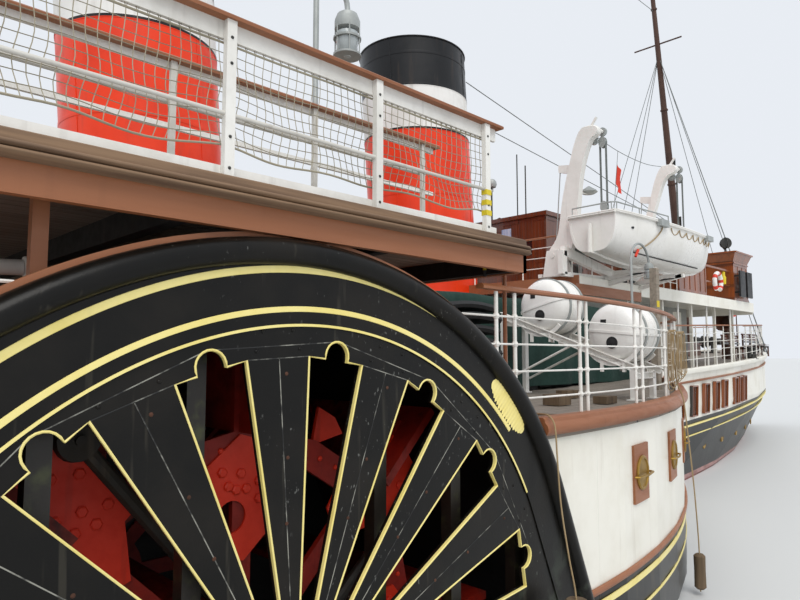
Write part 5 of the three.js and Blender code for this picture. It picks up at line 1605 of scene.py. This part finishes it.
# %% Raft shells
RAFT_X = 7.12
RAFTS = [(6.07, 4.48, 0.25), (7.33, 4.01, -0.1)]
SHELL = [(0.0, -0.44), (0.16, -0.438), (0.29, -0.425), (0.38, -0.385), (0.43, -0.32), (0.45, -0.25),
         (0.455, -0.18)]
SHELL += [(0.455, -0.125), (0.466, -0.12), (0.466, -0.08), (0.455, -0.075)]
shell_profile = [(r, a) for r, a in SHELL] + [(r, -a) for r, a in SHELL[::-1]]


def raft_shell(y, z, tilt):
    """The drum, its seam, its straps and the dark fittings on its after end."""
    centre = np.array([RAFT_X, y, z])
    drum = turned(shell_profile, centre, (1, 0, 0), 56)
    side = np.array([0, math.cos(tilt), math.sin(tilt)])
    loop = [centre + [a, 0, 0] + side * (r + 0.008) for r, a in shell_profile]
    loop += [centre + [a, 0, 0] - side * (r + 0.008) for r, a in shell_profile[::-1]]
    loop = [p for k, p in enumerate(loop) if np.linalg.norm(p - loop[k - 1]) > 0.004]
    seam = sweep(loop, oblong(0.012, 0.018), np.cross(side, (1, 0, 0)), closed=True)
    hoop = np.array([[0.458, 0], [0.474, 0], [0.474, 0.045], [0.458, 0.045]])
    straps = [turned(hoop + [0, a], centre, (1, 0, 0), 56) for a in (-0.23, 0.185)]
    fitting = centre + [-0.438, 0.02, -0.16]
    dark = [turned([[0.01, 0], [0.055, 0], [0.055, -0.012], [0.02, -0.02]], fitting, (1, 0, 0), 16),
            turned([[0.075, 0.0], [0.09, 0.0], [0.09, -0.01], [0.075, -0.01]], fitting, (1, 0, 0), 20),
            beams([centre + [-0.437, -0.16, 0.16]], [centre + [-0.437, -0.07, 0.16]], 0.01, 0.07)]
    return [drum, seam], straps, dark


shells, raft_straps, raft_dark = [], [], []
for y, z, tilt in RAFTS:
    drum_parts, strap_parts, dark_parts = raft_shell(y, z, tilt)
    shells += drum_parts
    raft_straps += strap_parts
    raft_dark += dark_parts
pair("raft_shells", "raft", *shells, stands_for=both("raft_rack"))
pair("raft_straps", "galvanised", *raft_straps)
pair("raft_fittings", "rubber", *raft_dark)

# %% The rack under the shells
def channel(start, end, up=(0, 0, 1), wide=0.07, deep=0.10, wall=0.012):
    """A channel bar: a web with two flanges, its open side towards the left of its run."""
    web = [[-wide / 2, -deep / 2], [wide / 2, -deep / 2], [wide / 2, -deep / 2 + wall],
           [-wide / 2 + wall, -deep / 2 + wall], [-wide / 2 + wall, deep / 2 - wall],
           [wide / 2, deep / 2 - wall], [wide / 2, deep / 2], [-wide / 2, deep / 2]]
    return sweep([start, end], web, up)


rack = []
for x in (6.73, 7.37):
    floor_z = deck_z(x) + 0.005
    rack.append(channel((x, 5.25, 4.365), (x, 7.78, 3.425)))
    for y, top in ((5.32, 4.3), (7.65, 3.44)):
        rack.append(channel((x, y, floor_z), (x, y, top), (1, 0, 0)))
        rack.append(blocks([[x - 0.08, y - 0.08, floor_z], [x + 0.08, y + 0.08, floor_z + 0.015]]))
    rack.append(rods([x, 5.4, 3.25], [x, 6.6, 3.8], 0.02, 8))
    for y, z, tilt in RAFTS:
        turn = line(-2.4, -0.74, 12)
        cradle = np.stack([np.full(12, x), y + 0.485 * np.cos(turn), z + 0.485 * np.sin(turn)], 1)
        rack.append(sweep(cradle, oblong(0.03, 0.012), (1, 0, 0)))
        heads = cradle[[3, 8]]
        rack.append(beams(heads, rows_of(heads[:, 0], heads[:, 1], z - 0.6), 0.04, 0.05, (1, 0, 0)))
for y, z in ((5.32, 4.22), (7.65, 3.36), (6.45, 3.86)):
    rack.append(channel((6.70, y, z), (7.40, y, z)))
pair("raft_rack_bars", "davit", *rack)
chocks_here = blocks([[5.0, 7.2, 3.0], [5.3, 7.45, 3.14]], [[6.3, 6.6, 3.0], [6.65, 6.8, 3.12]],
                     [[5.7, 7.55, 3.0], [6.0, 7.75, 3.1]], [[3.3, 7.3, 2.995], [3.75, 8.2, 3.02]])
pair("deck_chocks", "log", chocks_here, smooth=False)

# %% [markdown]
# Inboard of the rafts, lockers stand under a green tarpaulin. The cloth is one sheet: it lies flat
# on the lockers, rolls over their edge and hangs down in slow folds that grow towards its hem.

# %% Lockers, tarpaulin and stacked mats
LOCKER_Y0, LOCKER_Y1, LOCKER_TOP = 4.30, 4.98, 4.70
lockers = blocks(*[[[x, LOCKER_Y0, deck_z(x + 1.2) + 0.01], [x + 1.2, LOCKER_Y1, LOCKER_TOP]]
                   for x in (4.5, 5.78, 7.06, 8.34, 9.62, 10.9)])
pair("deck_lockers", "dark", lockers, smooth=False)


def tarpaulin(columns=91, rows=34):
    """The section runs over the lockers' top and down the outboard side as arc length grows."""
    section = curve([(0, 4.26, 4.45), (0, 4.28, 4.64), (0, 4.34, 4.725), (0, 4.6, 4.735), (0, 4.85, 4.735),
                     (0, 4.98, 4.725), (0, 5.04, 4.66), (0, 5.06, 4.4), (0, 5.07, 4.0), (0, 5.08, 3.6),
                     (0, 5.09, 3.28), (0, 5.10, 3.08)])
    steps = np.concatenate([[0], np.cumsum(np.linalg.norm(np.diff(section, axis=0), axis=1))])
    at = line(0, steps[-1], rows)
    y, z = np.interp(at, steps, section[:, 1]), np.interp(at, steps, section[:, 2])
    x = line(4.35, 12.25, columns)
    hang = np.clip((4.7 - z) / 1.6, 0, 1)[None]
    fold = 0.045 * hang * np.sin(5.2 * x[:, None] + 1.3 * np.sin(1.9 * x[:, None])) * (y[None] > 4.6)
    ripple = 0.012 * np.sin(11 * x[:, None] + 3 * at[None])
    points = np.stack([np.broadcast_to(x[:, None], (columns, rows)), y[None] + fold + ripple * hang,
                       z[None] + 0.012 * np.sin(3.3 * x[:, None]) * (1 - hang)], -1)
    return points, float(steps[-1])


cloth, cut = tarpaulin()
for side, word in SIDES:
    made = piece("tarpaulin_" + word, "canvas_green", *on_side([(cloth, grid_faces(91, 34))], side))
MAT = [[-0.33, -0.05], [0.33, -0.05], [0.36, 0.0], [0.33, 0.05], [-0.33, 0.05], [-0.36, 0.0]]
mats = []
for k in range(9):
    z = 3.04 + 0.165 * k
    lean = 0.04 * math.sin(2.1 * k)
    x = line(4.55, 5.75, 13)
    wave = 0.05 * np.sin((x - 4.55) / 1.2 * math.pi) + 0.02 * math.sin(k)
    mats.append(sweep(rows_of(x, 5.62 + lean, z + wave), MAT))
pair("stacked_mats", "rubber", *mats)
derrick = beams([9.45, 6.8, 3.0], [9.5, 6.8, 5.3], 0.13, 0.13, (1, 0, 0))
pair("grey_post", "grey_wood", derrick)
mark = blocks([[9.42, 6.864, 4.56], [9.53, 6.872, 4.68]])
pair("post_mark", "yellow", mark, smooth=False)

# %% [markdown]
# The boat deck is a thin roof on slim stanchions. A white board hangs along its edge forward and a
# brown one aft, and a round-bar rail with a brown hand rail closes its after end.

# %% Boat deck edge, stanchions and rails
BOAT_DECK_AFT, BOAT_DECK_FORE, BOAT_DECK_HALF, BOAT_DECK_TOP = 10.6, 22.55, 4.6, 5.46
board_in, board_out = BOAT_DECK_HALF - 0.03, BOAT_DECK_HALF + 0.03
edge_boards = blocks([[13.66, board_in, 5.17], [BOAT_DECK_FORE + 0.03, board_out, 5.5]],
                     [[BOAT_DECK_FORE, 0, 5.1], [BOAT_DECK_FORE + 0.03, BOAT_DECK_HALF, 5.5]])
brown_boards = blocks([[10.4, board_in, 5.03], [13.65, board_out, 5.27]],
                      [[BOAT_DECK_AFT - 0.04, 0, 5.2], [BOAT_DECK_AFT, BOAT_DECK_HALF, 5.47]])
pair("boat_deck_boards", "white", edge_boards, smooth=False)
pair("boat_deck_brown_boards", "brown", brown_boards, smooth=False)
posts_x = np.array([16.4, 18.6, 20.7])
feet = np.stack([posts_x, np.full(3, 4.44), deck_z(posts_x)], 1)
pair("deck_stanchions", "white_wood", rods(feet, rows_of(posts_x, 4.44, 5.38), 0.03, 10))


def straight_rail(places, deck, height=1.0, levels=(0.27, 0.52, 0.76)):
    """A rail through corner places x, y on a level deck: bars, posts and a hand rail's own path."""
    places = np.asarray(places, float)
    path = np.column_stack([places, np.full(len(places), deck)])
    bars = [tube(path + [0, 0, level], 0.012, 6) for level in levels]
    uprights = rods(path, path + [0, 0, height - 0.02], 0.017, 8)
    cap = [[-0.035, -0.016], [0.035, -0.016], [0.036, 0.01], [0.02, 0.022], [-0.02, 0.022], [-0.036, 0.01]]
    return [*bars, uprights], sweep(path + [0, 0, height], cap)


aft_run = [(10.72, 0.02), (10.72, 1.5), (10.72, 3.0), (10.72, 4.35)]
side_run = [(11.4, 4.48), (12.4, 4.48), (13.4, 4.48), (14.0, 4.48)]
fore_run = [(15.4, 4.48), (15.85, 4.48), (16.3, 4.48)]
deck_bars, deck_caps = [], []
for run in (aft_run, side_run, fore_run):
    bars, cap = straight_rail(run, BOAT_DECK_TOP)
    deck_bars += bars
    deck_caps.append(cap)
pair("boat_deck_bars", "white_wood", *deck_bars)
pair("boat_deck_caps", "brown", *deck_caps)

# %% [markdown]
# Windows are framed in wood round the openings of the houses, with a pane set back in each frame.
# A window on an end wall is a side window turned through a right angle.

# %% Windows
def facing(part, way):
    """A part of the port side turned to face forward, way 1, or aft, way -1."""
    points, faces = part
    x, y, z = np.asarray(points, float).T
    return np.stack([way * y, x, z], 1), faces


def box_loop(x0, x1, z0, z1):
    return np.array([[x0, z0], [x1, z0], [x1, z1], [x0, z1]])


def window(x, z0, z1, wide, wall, frame=0.055, bars=0):
    """A frame, its pane and any glazing bars, for a wall whose outer face lies at one y."""
    x0, x1 = x - wide / 2, x + wide / 2
    rim_part = pierced(box_loop(x0 - frame, x1 + frame, z0 - frame, z1 + frame),
                       [box_loop(x0 + 0.01, x1 - 0.01, z0 + 0.01, z1 - 0.01)], wall - 0.005, wall + 0.022)
    sill_x0, sill_x1, sill_top = x0 - frame - 0.02, x1 + frame + 0.02, z0 - frame
    sill = blocks([[sill_x0, wall, sill_top - 0.03], [sill_x1, wall + 0.045, sill_top]])
    parts = [rim_part, sill]
    for k in range(bars):
        at = x0 + wide * (k + 1) / (bars + 1)
        parts.append(blocks([[at - 0.012, wall - 0.02, z0], [at + 0.012, wall + 0.008, z1]]))
    pane = blocks([[x0 - 0.005, wall - 0.035, z0 - 0.005], [x1 + 0.005, wall - 0.027, z1 + 0.005]])
    return parts, pane


frames, panes_all = [], []
SIDES_WITH_WINDOWS = [  # places along the ship, width, sill, head, wall, glazing bars
    ([-1.5, 4.25, 5.55, 6.85], 0.57, 3.75, 4.42, 2.1, 0), (line(14.0, 19.2, 6), 0.66, 3.97, 4.84, 2.6, 0),
    ([14.2, 15.3], 0.48, 6.5, 7.05, 2.0, 0), (line(-15.4, -9.8, 5), 0.72, 3.85, 4.6, 2.4, 1),
]
for places, wide, sill_z, head_z, wall, bars in SIDES_WITH_WINDOWS:
    for x in places:
        parts, pane = window(float(x), sill_z, head_z, wide, wall, bars=bars)
        frames += map(mirrored, parts)
        panes_all.append(mirrored(pane))
ENDS_WITH_WINDOWS = [  # places across, width, sill, head, wall, way it faces
    ([0, 1.7], 0.85, 4.15, 4.9, 21.75, 1), ([1.35], 0.42, 6.55, 7.0, -13.35, -1),
    (line(0, 2, 3), 0.8, 6.62, 7.35, 22.3, 1), ([0, 1.7], 0.8, 6.62, 7.35, -19.4, -1),
]
for places, wide, sill_z, head_z, wall, way in ENDS_WITH_WINDOWS:
    for y in places:
        parts, pane = window(float(y), sill_z, head_z, wide, wall)
        *parts, pane = [facing(p, way) for p in (*parts, pane)]
        frames += map(mirrored, parts) if y else parts
        panes_all.append(mirrored(pane) if y else pane)
piece("window_frames", "varnish", *frames, smooth=False)
piece("window_panes", "glass", *panes_all, smooth=False)
curtain = blocks([[13.33, -0.8, 7.03], [13.349, -0.47, 7.45]])
piece("cabin_curtain", "curtain", curtain, smooth=False)

# %% [markdown]
# Cabin, wheelhouse and bridge wings are varnished teak. Raised stiles and rails make panels on every
# wall, and a moulding runs round the foot and the top.

# %% Panelling
def panelling(x0, x1, z0, z1, wall, pitch=0.62, wide=0.07, proud=0.014, mid=None, skip=()):
    """Stiles and rails on a wall at one y. skip lists ranges of x that doors or windows take up."""
    count = max(1, round((x1 - x0) / pitch))
    xs = line(x0 + wide / 2, x1 - wide / 2, count + 1)
    clear = [x for x in xs if all(not a - wide / 2 < x < b + wide / 2 for a, b in skip)]
    parts = [blocks(*[[[x - wide / 2, wall, z0], [x + wide / 2, wall + proud, z1]] for x in clear])]
    levels = [z0 + 0.06, z1 - 0.05] + ([mid] if mid else [])
    cuts = sorted([x0, x1] + [v for pair in skip for v in pair])
    for start, stop in zip(cuts[::2], cuts[1::2]):
        for z in levels:
            parts.append(blocks([[start, wall, z - 0.05], [stop, wall + proud * 1.2, z + 0.05]]))
    return together(*parts)


PANEL_FOOT, PANEL_HEAD, LOW_HEAD = 5.5, 7.66, 6.5
WING_X0, WING_X1, WING_INNER, WING_OUTER = 20.7, 22.1, 2.68, 4.6
WING_TOP, WING_LIP, WING_FLARE = 6.78, 7.14, 0.145
panel_parts = [
    panelling(13.35, 17.55, PANEL_FOOT, PANEL_HEAD, 2.0, mid=6.35, skip=((13.9, 14.5), (15.0, 15.6))),
    facing(panelling(0.47, 2.0, PANEL_FOOT, PANEL_HEAD, -13.35, 0.5, mid=6.4, skip=((1.08, 1.62),)), -1),
    panelling(19.4, 22.3, PANEL_FOOT, PANEL_HEAD, 2.6, mid=6.45, skip=((19.55, 20.45),)),
    facing(panelling(0, 2.6, PANEL_FOOT, LOW_HEAD, 22.3, 0.65), 1),
    facing(panelling(0, 2.6, PANEL_FOOT, LOW_HEAD, -19.4, 0.65), -1),
]
dodger = blocks([[16.4, 4.44, 5.46], [18.5, 4.5, 6.52]])
bars = blocks([[18.5, 4.42, 6.46], [WING_X0, 4.5, 6.52]], [[18.5, 4.44, 5.98], [WING_X0, 4.48, 6.02]])
wing_panels = [
    dodger, panelling(16.4, 18.5, PANEL_FOOT, LOW_HEAD, 4.5, 0.45), bars,
    panelling(WING_X0, WING_X1, PANEL_FOOT, WING_TOP, WING_OUTER, 0.45, mid=6.0),
    facing(panelling(WING_INNER, WING_OUTER, PANEL_FOOT, WING_TOP, -WING_X0, 0.48, mid=6.0), -1),
    facing(panelling(WING_INNER, WING_OUTER, PANEL_FOOT, WING_TOP, WING_X1, 0.48, mid=6.0), 1),
]
pair("teak_panels", "varnish", *panel_parts, smooth=False)
pair("wing_panels", "varnish_fore", *wing_panels, smooth=False)


def wing_moulding(out, z, wide):
    """Bars round the aft, outer and fore sides of a wing, a distance out from them."""
    x0, x1, y = WING_X0 - out, WING_X1 + out, WING_OUTER + out
    path = np.array([[x0, WING_INNER, z], [x0, y, z], [x1, y, z], [x1, WING_INNER, z]])
    return beams(path[:-1], path[1:], wide, 0.05)


pair("wing_mouldings", "varnish_fore", wing_moulding(WING_FLARE, WING_LIP - 0.01, 0.07),
     wing_moulding(0.02, WING_TOP, 0.05), smooth=False)

# %% Lamps, buoys, screens and aerials
screens = [[[x, 4.75, 5.62], [x + 0.5, 4.81, 6.5]] for x in (20.75, 21.45)]
screens += [[[x, 4.6, z], [x + 0.05, 4.76, z + 0.05]] for z in (5.75, 6.3) for x in (20.75, 21.9)]
pair("wing_screens", "screen", blocks(*screens), smooth=False)


def torus(centre, radius, thick, axis, first=0, last=360, steps=40):
    """A round bar bent about an axis, from one angle in degrees to another."""
    turn = np.radians(line(first, last, steps))
    axis = unit(axis)
    side, rise = square_to(axis)
    path = np.asarray(centre) + radius * (np.cos(turn)[:, None] * side + np.sin(turn)[:, None] * rise)
    whole = last - first == 360
    return sweep(path[:-1] if whole else path, ring(thick, 12), axis, closed=whole)


BUOY = ((19.4, 4.55, 6.02), 0.28)
bands = [torus(*BUOY, 0.075, (0, 1, 0), a, a + 22, 6) for a in (-50, 20, 90, 160, 210)]
pair("horseshoe_buoys", "raft", torus(*BUOY, 0.07, (0, 1, 0), -60, 240))
pair("buoy_bands", "buoy_red", *bands)
light_profile = [[0.02, 6.0], [0.07, 6.02], [0.08, 6.25], [0.05, 6.3], [0.05, 6.42], [0.02, 6.44]]
pair("buoy_lights", "yellow", turned(light_profile, (20.2, 4.46, 0)))
LAMP, BEAM = (20.95, 4.3, 7.5), (-0.6, 0.6, 0)
drum = turned([[0.06, -0.16], [0.13, -0.12], [0.18, 0.0], [0.19, 0.1], [0.17, 0.1]], LAMP, BEAM, 24)
stem = rods([20.95, 4.3, 7.13], [20.95, 4.3, 7.36], 0.03, 10)
pair("searchlights", "iron", drum, stem, torus(LAMP, 0.2, 0.015, (0.6, 0.6, 0)))
pair("searchlight_glass", "galvanised", turned([[0.0, 0.07], [0.12, 0.06], [0.17, 0.03]], LAMP, BEAM, 24))


def swan_lamp(x, y, foot, top, reach, drop, size):
    """A standing tube that bends over in a half circle and carries a caged globe."""
    radius = reach / 2
    turn = line(math.pi, 0, 13)
    bend = np.stack([x + radius + radius * np.cos(turn), np.full(13, y),
                     top - radius + radius * np.sin(turn)], 1)
    path = np.vstack([[[x, y, foot]], bend, [[x + reach, y, top - radius - drop]]])
    end = path[-1]

    def grown(profile):
        return turned(size * np.array(profile), end, sides=16)

    collar = grown([[0.03, 0.06], [0.06, 0.04], [0.075, 0.0], [0.075, -0.05], [0.05, -0.06]])
    round_end = [np.array([math.cos(a), math.sin(a), 0]) * 0.075 * size for a in line(0, 5.24, 6)]
    ribs = [rods([end + r + [0, 0, -0.04 * size]], [end + r + [0, 0, -0.2 * size]], 0.006, 5)
            for r in round_end]
    hoops = [grown([[0.07, h], [0.082, h], [0.082, h - 0.012], [0.07, h - 0.012]]) for h in (-0.1, -0.2)]
    foot_ring = turned([[0.06, 0], [0.06, 0.02], [0.03, 0.05]], (x, y, foot), sides=12)
    globe = grown([[0.02, -0.05], [0.062, -0.07], [0.068, -0.12], [0.055, -0.18], [0.02, -0.215]])
    return [tube(path, 0.024, 10, (0, 1, 0)), collar, *ribs, *hoops, foot_ring], globe


lamp_parts, lamp_globes = [], []
for place in ((9.6, 6.3, 3.03, 5.9, 0.8, 0.02, 1.2), (0.68, 7.86, 4.7, 6.86, 0.34, 0.12, 1.5)):
    metal, globe = swan_lamp(*place)
    lamp_parts += metal
    lamp_globes.append(globe)
pair("swan_lamps", "galvanised", *lamp_parts)
pair("lamp_globes", "lamp_glass", *lamp_globes)
aerial_feet = [[15.0, 0.1, 7.7], [14.0, -0.9, 7.7], [14.9, 1.1, 7.7]]
aerial_heads = [[15.0, 0.1, 10.3], [14.0, -0.9, 9.5], [14.9, 1.1, 9.2]]
roof_hoops = [(16.2, -1.1, 0.2), (14.3, 0.3, 0.18), (16.9, 1.1, 0.2)]
poles = [rods(aerial_feet, aerial_heads, 0.02, 8),
         turned([[0.05, 7.7], [0.05, 7.76], [0.03, 7.8], [0.03, 9.1]], (14.2, 0.55, 0)),
         *[torus((x, y, 7.9), radius, 0.015, (0, 1, 0), 0, 180) for x, y, radius in roof_hoops]]
DOMES = [
    ([[0.02, 9.1], [0.14, 9.12], [0.17, 9.2], [0.16, 9.3], [0.1, 9.38], [0.02, 9.4]], (14.2, 0.55, 0), 20),
    ([[0.02, 9.2], [0.08, 9.22], [0.08, 9.4], [0.02, 9.42]], (14.9, 1.1, 0), 16),
    ([[0.03, 7.4], [0.14, 7.42], [0.2, 7.46], [0.17, 7.5], [0.02, 7.6]], (11.09, -4.62, 0), 24),
]
domes = [turned(profile, place, sides=sides) for profile, place, sides in DOMES]
piece("roof_aerials", "iron", *poles)
piece("roof_domes", "galvanised", *domes)
arm = rods([10.75, -4.5, 7.42], [11.09, -4.62, 7.42], 0.02, 8)
piece("lamp_arm", "davit", arm)

# %% [markdown]
# Slatted benches stand on both sides of the ship, under the boat deck and along the after deck.

# %% Benches
def bench(x, y, length, deck):
    """Seat and back of slats along the ship, with three cast ends."""
    seat = [[[x, y + k * 0.085, deck + 0.42 + 0.01 * k], [x + length, y + k * 0.085 + 0.065,
                                                          deck + 0.44 + 0.01 * k]] for k in range(5)]
    back = [[[x, y - 0.02 - 0.02 * k, deck + 0.55 + 0.1 * k], [x + length, y - 0.02 * k,
                                                               deck + 0.62 + 0.1 * k]] for k in range(4)]
    iron = ((-0.08, 0, -0.02, 0.9), (0.36, 0, 0.41, 0.42), (-0.08, 0.36, 0.41, 0.42))
    legs = [[[x + at, y + y0, deck + z0], [x + at + 0.05, y + y1, deck + z1]]
            for y0, z0, y1, z1 in iron for at in (0.08, length / 2, length - 0.13)]
    return blocks(*seat, *back, *legs)


benches_all = [bench(x, 3.3, 1.9, deck_z(x + 1)) for x in (14.3, 16.6, 23.3, 25.6)]
benches_all += [bench(x, 3.2, 1.9, deck_z(x + 1)) for x in (-11.5, -14.0, -19.0, -21.6, -24.2, -26.8)]
pair("deck_benches", "varnish", *benches_all, smooth=False)

# %% [markdown]
# Wire stays brace the raked masts. Each is drawn taut from a place on the mast to the deck, to the
# other mast or to a funnel's head, and bands mark the places where fittings clasp the spar.

# %% Masts and stays
MASTS = [  # name, x at the deck, foot z, foot and top radius, top z, lean
    ("foremast", 28.55, 3.71, 0.215, 0.085, 22.2, math.tan(math.radians(9.2))),
    ("mainmast", -19.5, 3.13, 0.19, 0.075, 19.0, math.tan(math.radians(7))),
]


def mast_point(mast, z):
    return np.array([mast[1] - mast[6] * (z - mast[2]), 0.0, z])


stay_starts, stay_ends = [], []
for mast, ends in ((MASTS[0], [(35.2, 0, 4.3), (26.5, 3.9, 3.7), (24.9, 4.2, 3.65), (27.6, 3.6, 3.75)]),
                   (MASTS[1], [(-21.2, 4.3, 3.3), (-22.6, 4.3, 3.35), (-20.2, 4.4, 3.25)])):
    for end in ends:
        for side in ((1,) if end[1] == 0 else (1, -1)):
            stay_starts.append(mast_point(mast, 17.5))
            stay_ends.append(np.array(end) * [1, side, 1])
stay_starts.append(mast_point(MASTS[0], 19.5))
stay_ends.append(mast_point(MASTS[1], 17.5))
funnel_head = np.array([11.35, -0.75, 11.4])
stay_starts += [funnel_head, funnel_head * [1, -1, 1]]
stay_ends += [mast_point(MASTS[0], 9.6)] * 2
piece("mast_stays", "wire", rods(stay_starts, stay_ends, 0.014, 5))
fittings = []
for mast, heights in ((MASTS[0], (5.2, 8.1, 11.6, 15.0, 19.6)), (MASTS[1], (5.0, 9.0, 13.0, 17.2))):
    for z in heights:
        share = (z - mast[2]) / (mast[5] - mast[2])
        radius = mast[3] + (mast[4] - mast[3]) * share + 0.015
        fittings.append(turned([[radius, -0.05], [radius + 0.02, -0.03], [radius + 0.02, 0.03],
                                [radius, 0.05]], mast_point(mast, z), (-mast[6], 0, 1), 20))
    top = mast_point(mast, mast[5] - 0.02)
    fittings.append(turned([[0.02, -0.1], [0.075, -0.06], [0.08, -0.02], [0.03, 0.0]], top,
                           (-mast[6], 0, 1), 16))
    yard = mast_point(mast, mast[5] - 4.2)
    fittings.append(rods([yard - [0, 1.1, 0]], [yard + [0, 1.1, 0]], 0.035, 10))
piece("mast_bands", "spar", *fittings)
lamp_boxes = []
for z in (9.9, 12.6):
    at = mast_point(MASTS[0], z) + [0.28, 0, 0]
    lamp_boxes.append(blocks([at - [0.02, 0.16, 0.2], at + [0.02, 0.16, 0.24]],
                             [at - [0.22, 0.03, 0.22], at + [0, 0.03, -0.18]]))
    lamp_boxes.append(turned([[0.02, -0.16], [0.09, -0.14], [0.09, 0.1], [0.05, 0.16], [0.02, 0.18]],
                             at + [0.13, 0, 0]))
piece("mast_lamps", "iron", *lamp_boxes)

# %% [markdown]
# Both ends of the deck carry their gear: bollards and fairleads along the edge, a windlass and a
# hatch forward, a skylight and a companion aft, and a staff with a plain flag at each end.

# %% Deck gear at both ends
def bollards(x, y):
    """Two posts on one bed, each with a mushroom head."""
    base = deck_z(x) + 0.005
    post = [[0.1, 0], [0.085, 0.04], [0.085, 0.3], [0.12, 0.33], [0.12, 0.36], [0.07, 0.39]]
    bed = blocks([[x - 0.42, y - 0.14, base], [x + 0.42, y + 0.14, base + 0.035]])
    return [bed] + [turned(post, (x + dx, y, base + 0.03)) for dx in (-0.24, 0.24)]


def fairlead(x, y, top):
    posts_here = [turned([[0.06, 0], [0.05, 0.03], [0.05, 0.14], [0.07, 0.16], [0.03, 0.19]],
                         (x + dx, y, top)) for dx in (-0.14, 0.14)]
    return [blocks([[x - 0.3, y - 0.07, top], [x + 0.3, y + 0.07, top + 0.02]])] + posts_here


iron_gear = []
for x, y in ((31.3, 2.3), (25.2, 3.7), (-19.5, 3.85), (-31.0, 2.9)):
    iron_gear += bollards(x, y)
for x, y in ((32.9, 1.9), (24.0, 4.15), (-33.0, 2.5)):
    iron_gear += fairlead(x, y, deck_z(x) + 0.005)
pair("bollards", "iron", *iron_gear)
base = deck_z(30.6)
drum_profile = [[0.1, -0.75], [0.16, -0.74], [0.16, -0.5], [0.28, -0.48], [0.28, -0.44], [0.2, -0.42],
                [0.2, -0.15], [0.3, -0.13], [0.3, -0.08], [0.22, -0.06], [0.22, 0.0]]
whole_drum = drum_profile + [[r, -a] for r, a in drum_profile[-2::-1]]
windlass = [turned(whole_drum, (30.6, 0, base + 0.55), (0, 1, 0), 24),
            blocks([[30.3, -0.45, base], [30.9, -0.36, base + 0.78]],
                   [[30.3, 0.36, base], [30.9, 0.45, base + 0.78]],
                   [[30.2, -0.55, base], [31.0, 0.55, base + 0.06]])]
piece("windlass", "iron", *windlass)


def coaming_hatch(x0, x1, half, height, slats):
    """A low house with a moulded lid and battens across it."""
    low = deck_z((x0 + x1) / 2)
    parts = [blocks([[x0, -half, low], [x1, half, low + height]]), blocks([[x0 - 0.05, -half - 0.05,
            low + height], [x1 + 0.05, half + 0.05, low + height + 0.05]])]
    battens = [[[x0, y - 0.02, low + height + 0.05], [x1, y + 0.02, low + height + 0.08]]
               for y in line(-half + 0.08, half - 0.08, slats)]
    return parts + [blocks(*battens)]


hatches = coaming_hatch(26.2, 27.7, 0.85, 0.5, 7) + coaming_hatch(-20.6, -22.4, 0.9, 0.6, 7)
hatches += coaming_hatch(-27.5, -29.0, 0.75, 1.15, 5)
piece("deck_hatches", "varnish", *hatches, smooth=False)
for name, x, foot, top, wide, tall in (("jack_flag", 35.25, 4.0, 6.35, 0.75, 0.5),
                                       ("ensign", -36.3, 3.65, 6.6, 1.5, 0.95)):
    staff = turned([[0.03, foot], [0.028, top - 0.06], [0.05, top - 0.04], [0.04, top],
                    [0.01, top + 0.02]], (x, 0, 0))
    pole_made = piece(name + "_staff", "spar", staff)
    u, v = np.meshgrid(line(0, 1, 33), line(0, 1, 17), indexing="ij")
    flag = np.stack([x - 0.03 - wide * 0.93 * u, 0.09 * u * np.sin(7.5 * u + 1.4 * v),
                     top - 0.08 - tall * v - 0.12 * wide * u ** 1.5], -1)
    made = piece(name, "buoy_red", (flag, grid_faces(33, 17)))

# %% [markdown]
# A red flag flies from a halyard between the davits, and thin wires span from head to head.

# %% Wires over the boats
span = curve([(10.85, 4.75, 8.86), (12.4, 4.72, 8.72), (13.9, 4.72, 8.72), (15.05, 4.75, 8.86)])
halyard = rods([12.4, 4.72, 8.72], [12.4, 4.5, 6.48], 0.006, 5)
pair("davit_span_wires", "wire", tube(span, 0.008, 5), halyard)
u, v = np.meshgrid(line(0, 1, 21), line(0, 1, 13), indexing="ij")
signal = np.stack([12.41 + 0.26 * u, -4.68 + 0.05 * u * np.sin(8 * u + 2 * v) + 0.11 * v * 0.5,
                   8.43 - 0.5 * v - 0.24 * u], -1)
made = piece("signal_flag", "buoy_red", (signal, grid_faces(21, 13)))

# %% Finishes on the solids that stay
SOLIDS = {  # each finish with the starts of its solids' names; the longest start that fits counts
    "white": ["upper_plating", "engine_casing", "boat_deck", "aft_house", "casing_door",
              "forward_house_door"],
    "deck": ["promenade_deck", "casing_roof"],
    "varnish": ["deck_cabin", "wheelhouse", "cabin_door"],
    "varnish_fore": ["bridge_wing"],
    "white_wood": ["landing_rail", "rail"],
    "spar": ["foremast", "mainmast", "ventilator"],
    "hull": ["hull"], "sponson": ["sponson"], "black": ["paddle_box_face"], "casing": ["paddle_box_casing"],
    # the paddle wheel's dark red is partly painted shade of the inside of the paddle box
    "steel": ["paddle_shaft"], "wheel_red": ["paddle_wheel"], "iron": ["engine"], "red": ["funnel"],
    # the forward house takes the house grey, which is painted shade of the deck above it
    "brown": ["landing_deck"], "house": ["forward_house"], "raft": ["raft_rack"], "davit": ["davit"],
    "boat": ["lifeboat"], "hull_black": ["rudder"],
}
STARTS = {start: finish for finish, starts in SOLIDS.items() for start in starts}
for name, solid in nodes.items():
    key = max((k for k in STARTS if name.startswith(k)), key=len)
    solid.data.materials.clear()
    solid.data.materials.append(FINISH[STARTS[key]][0])
print("finished", len(nodes), "solids")
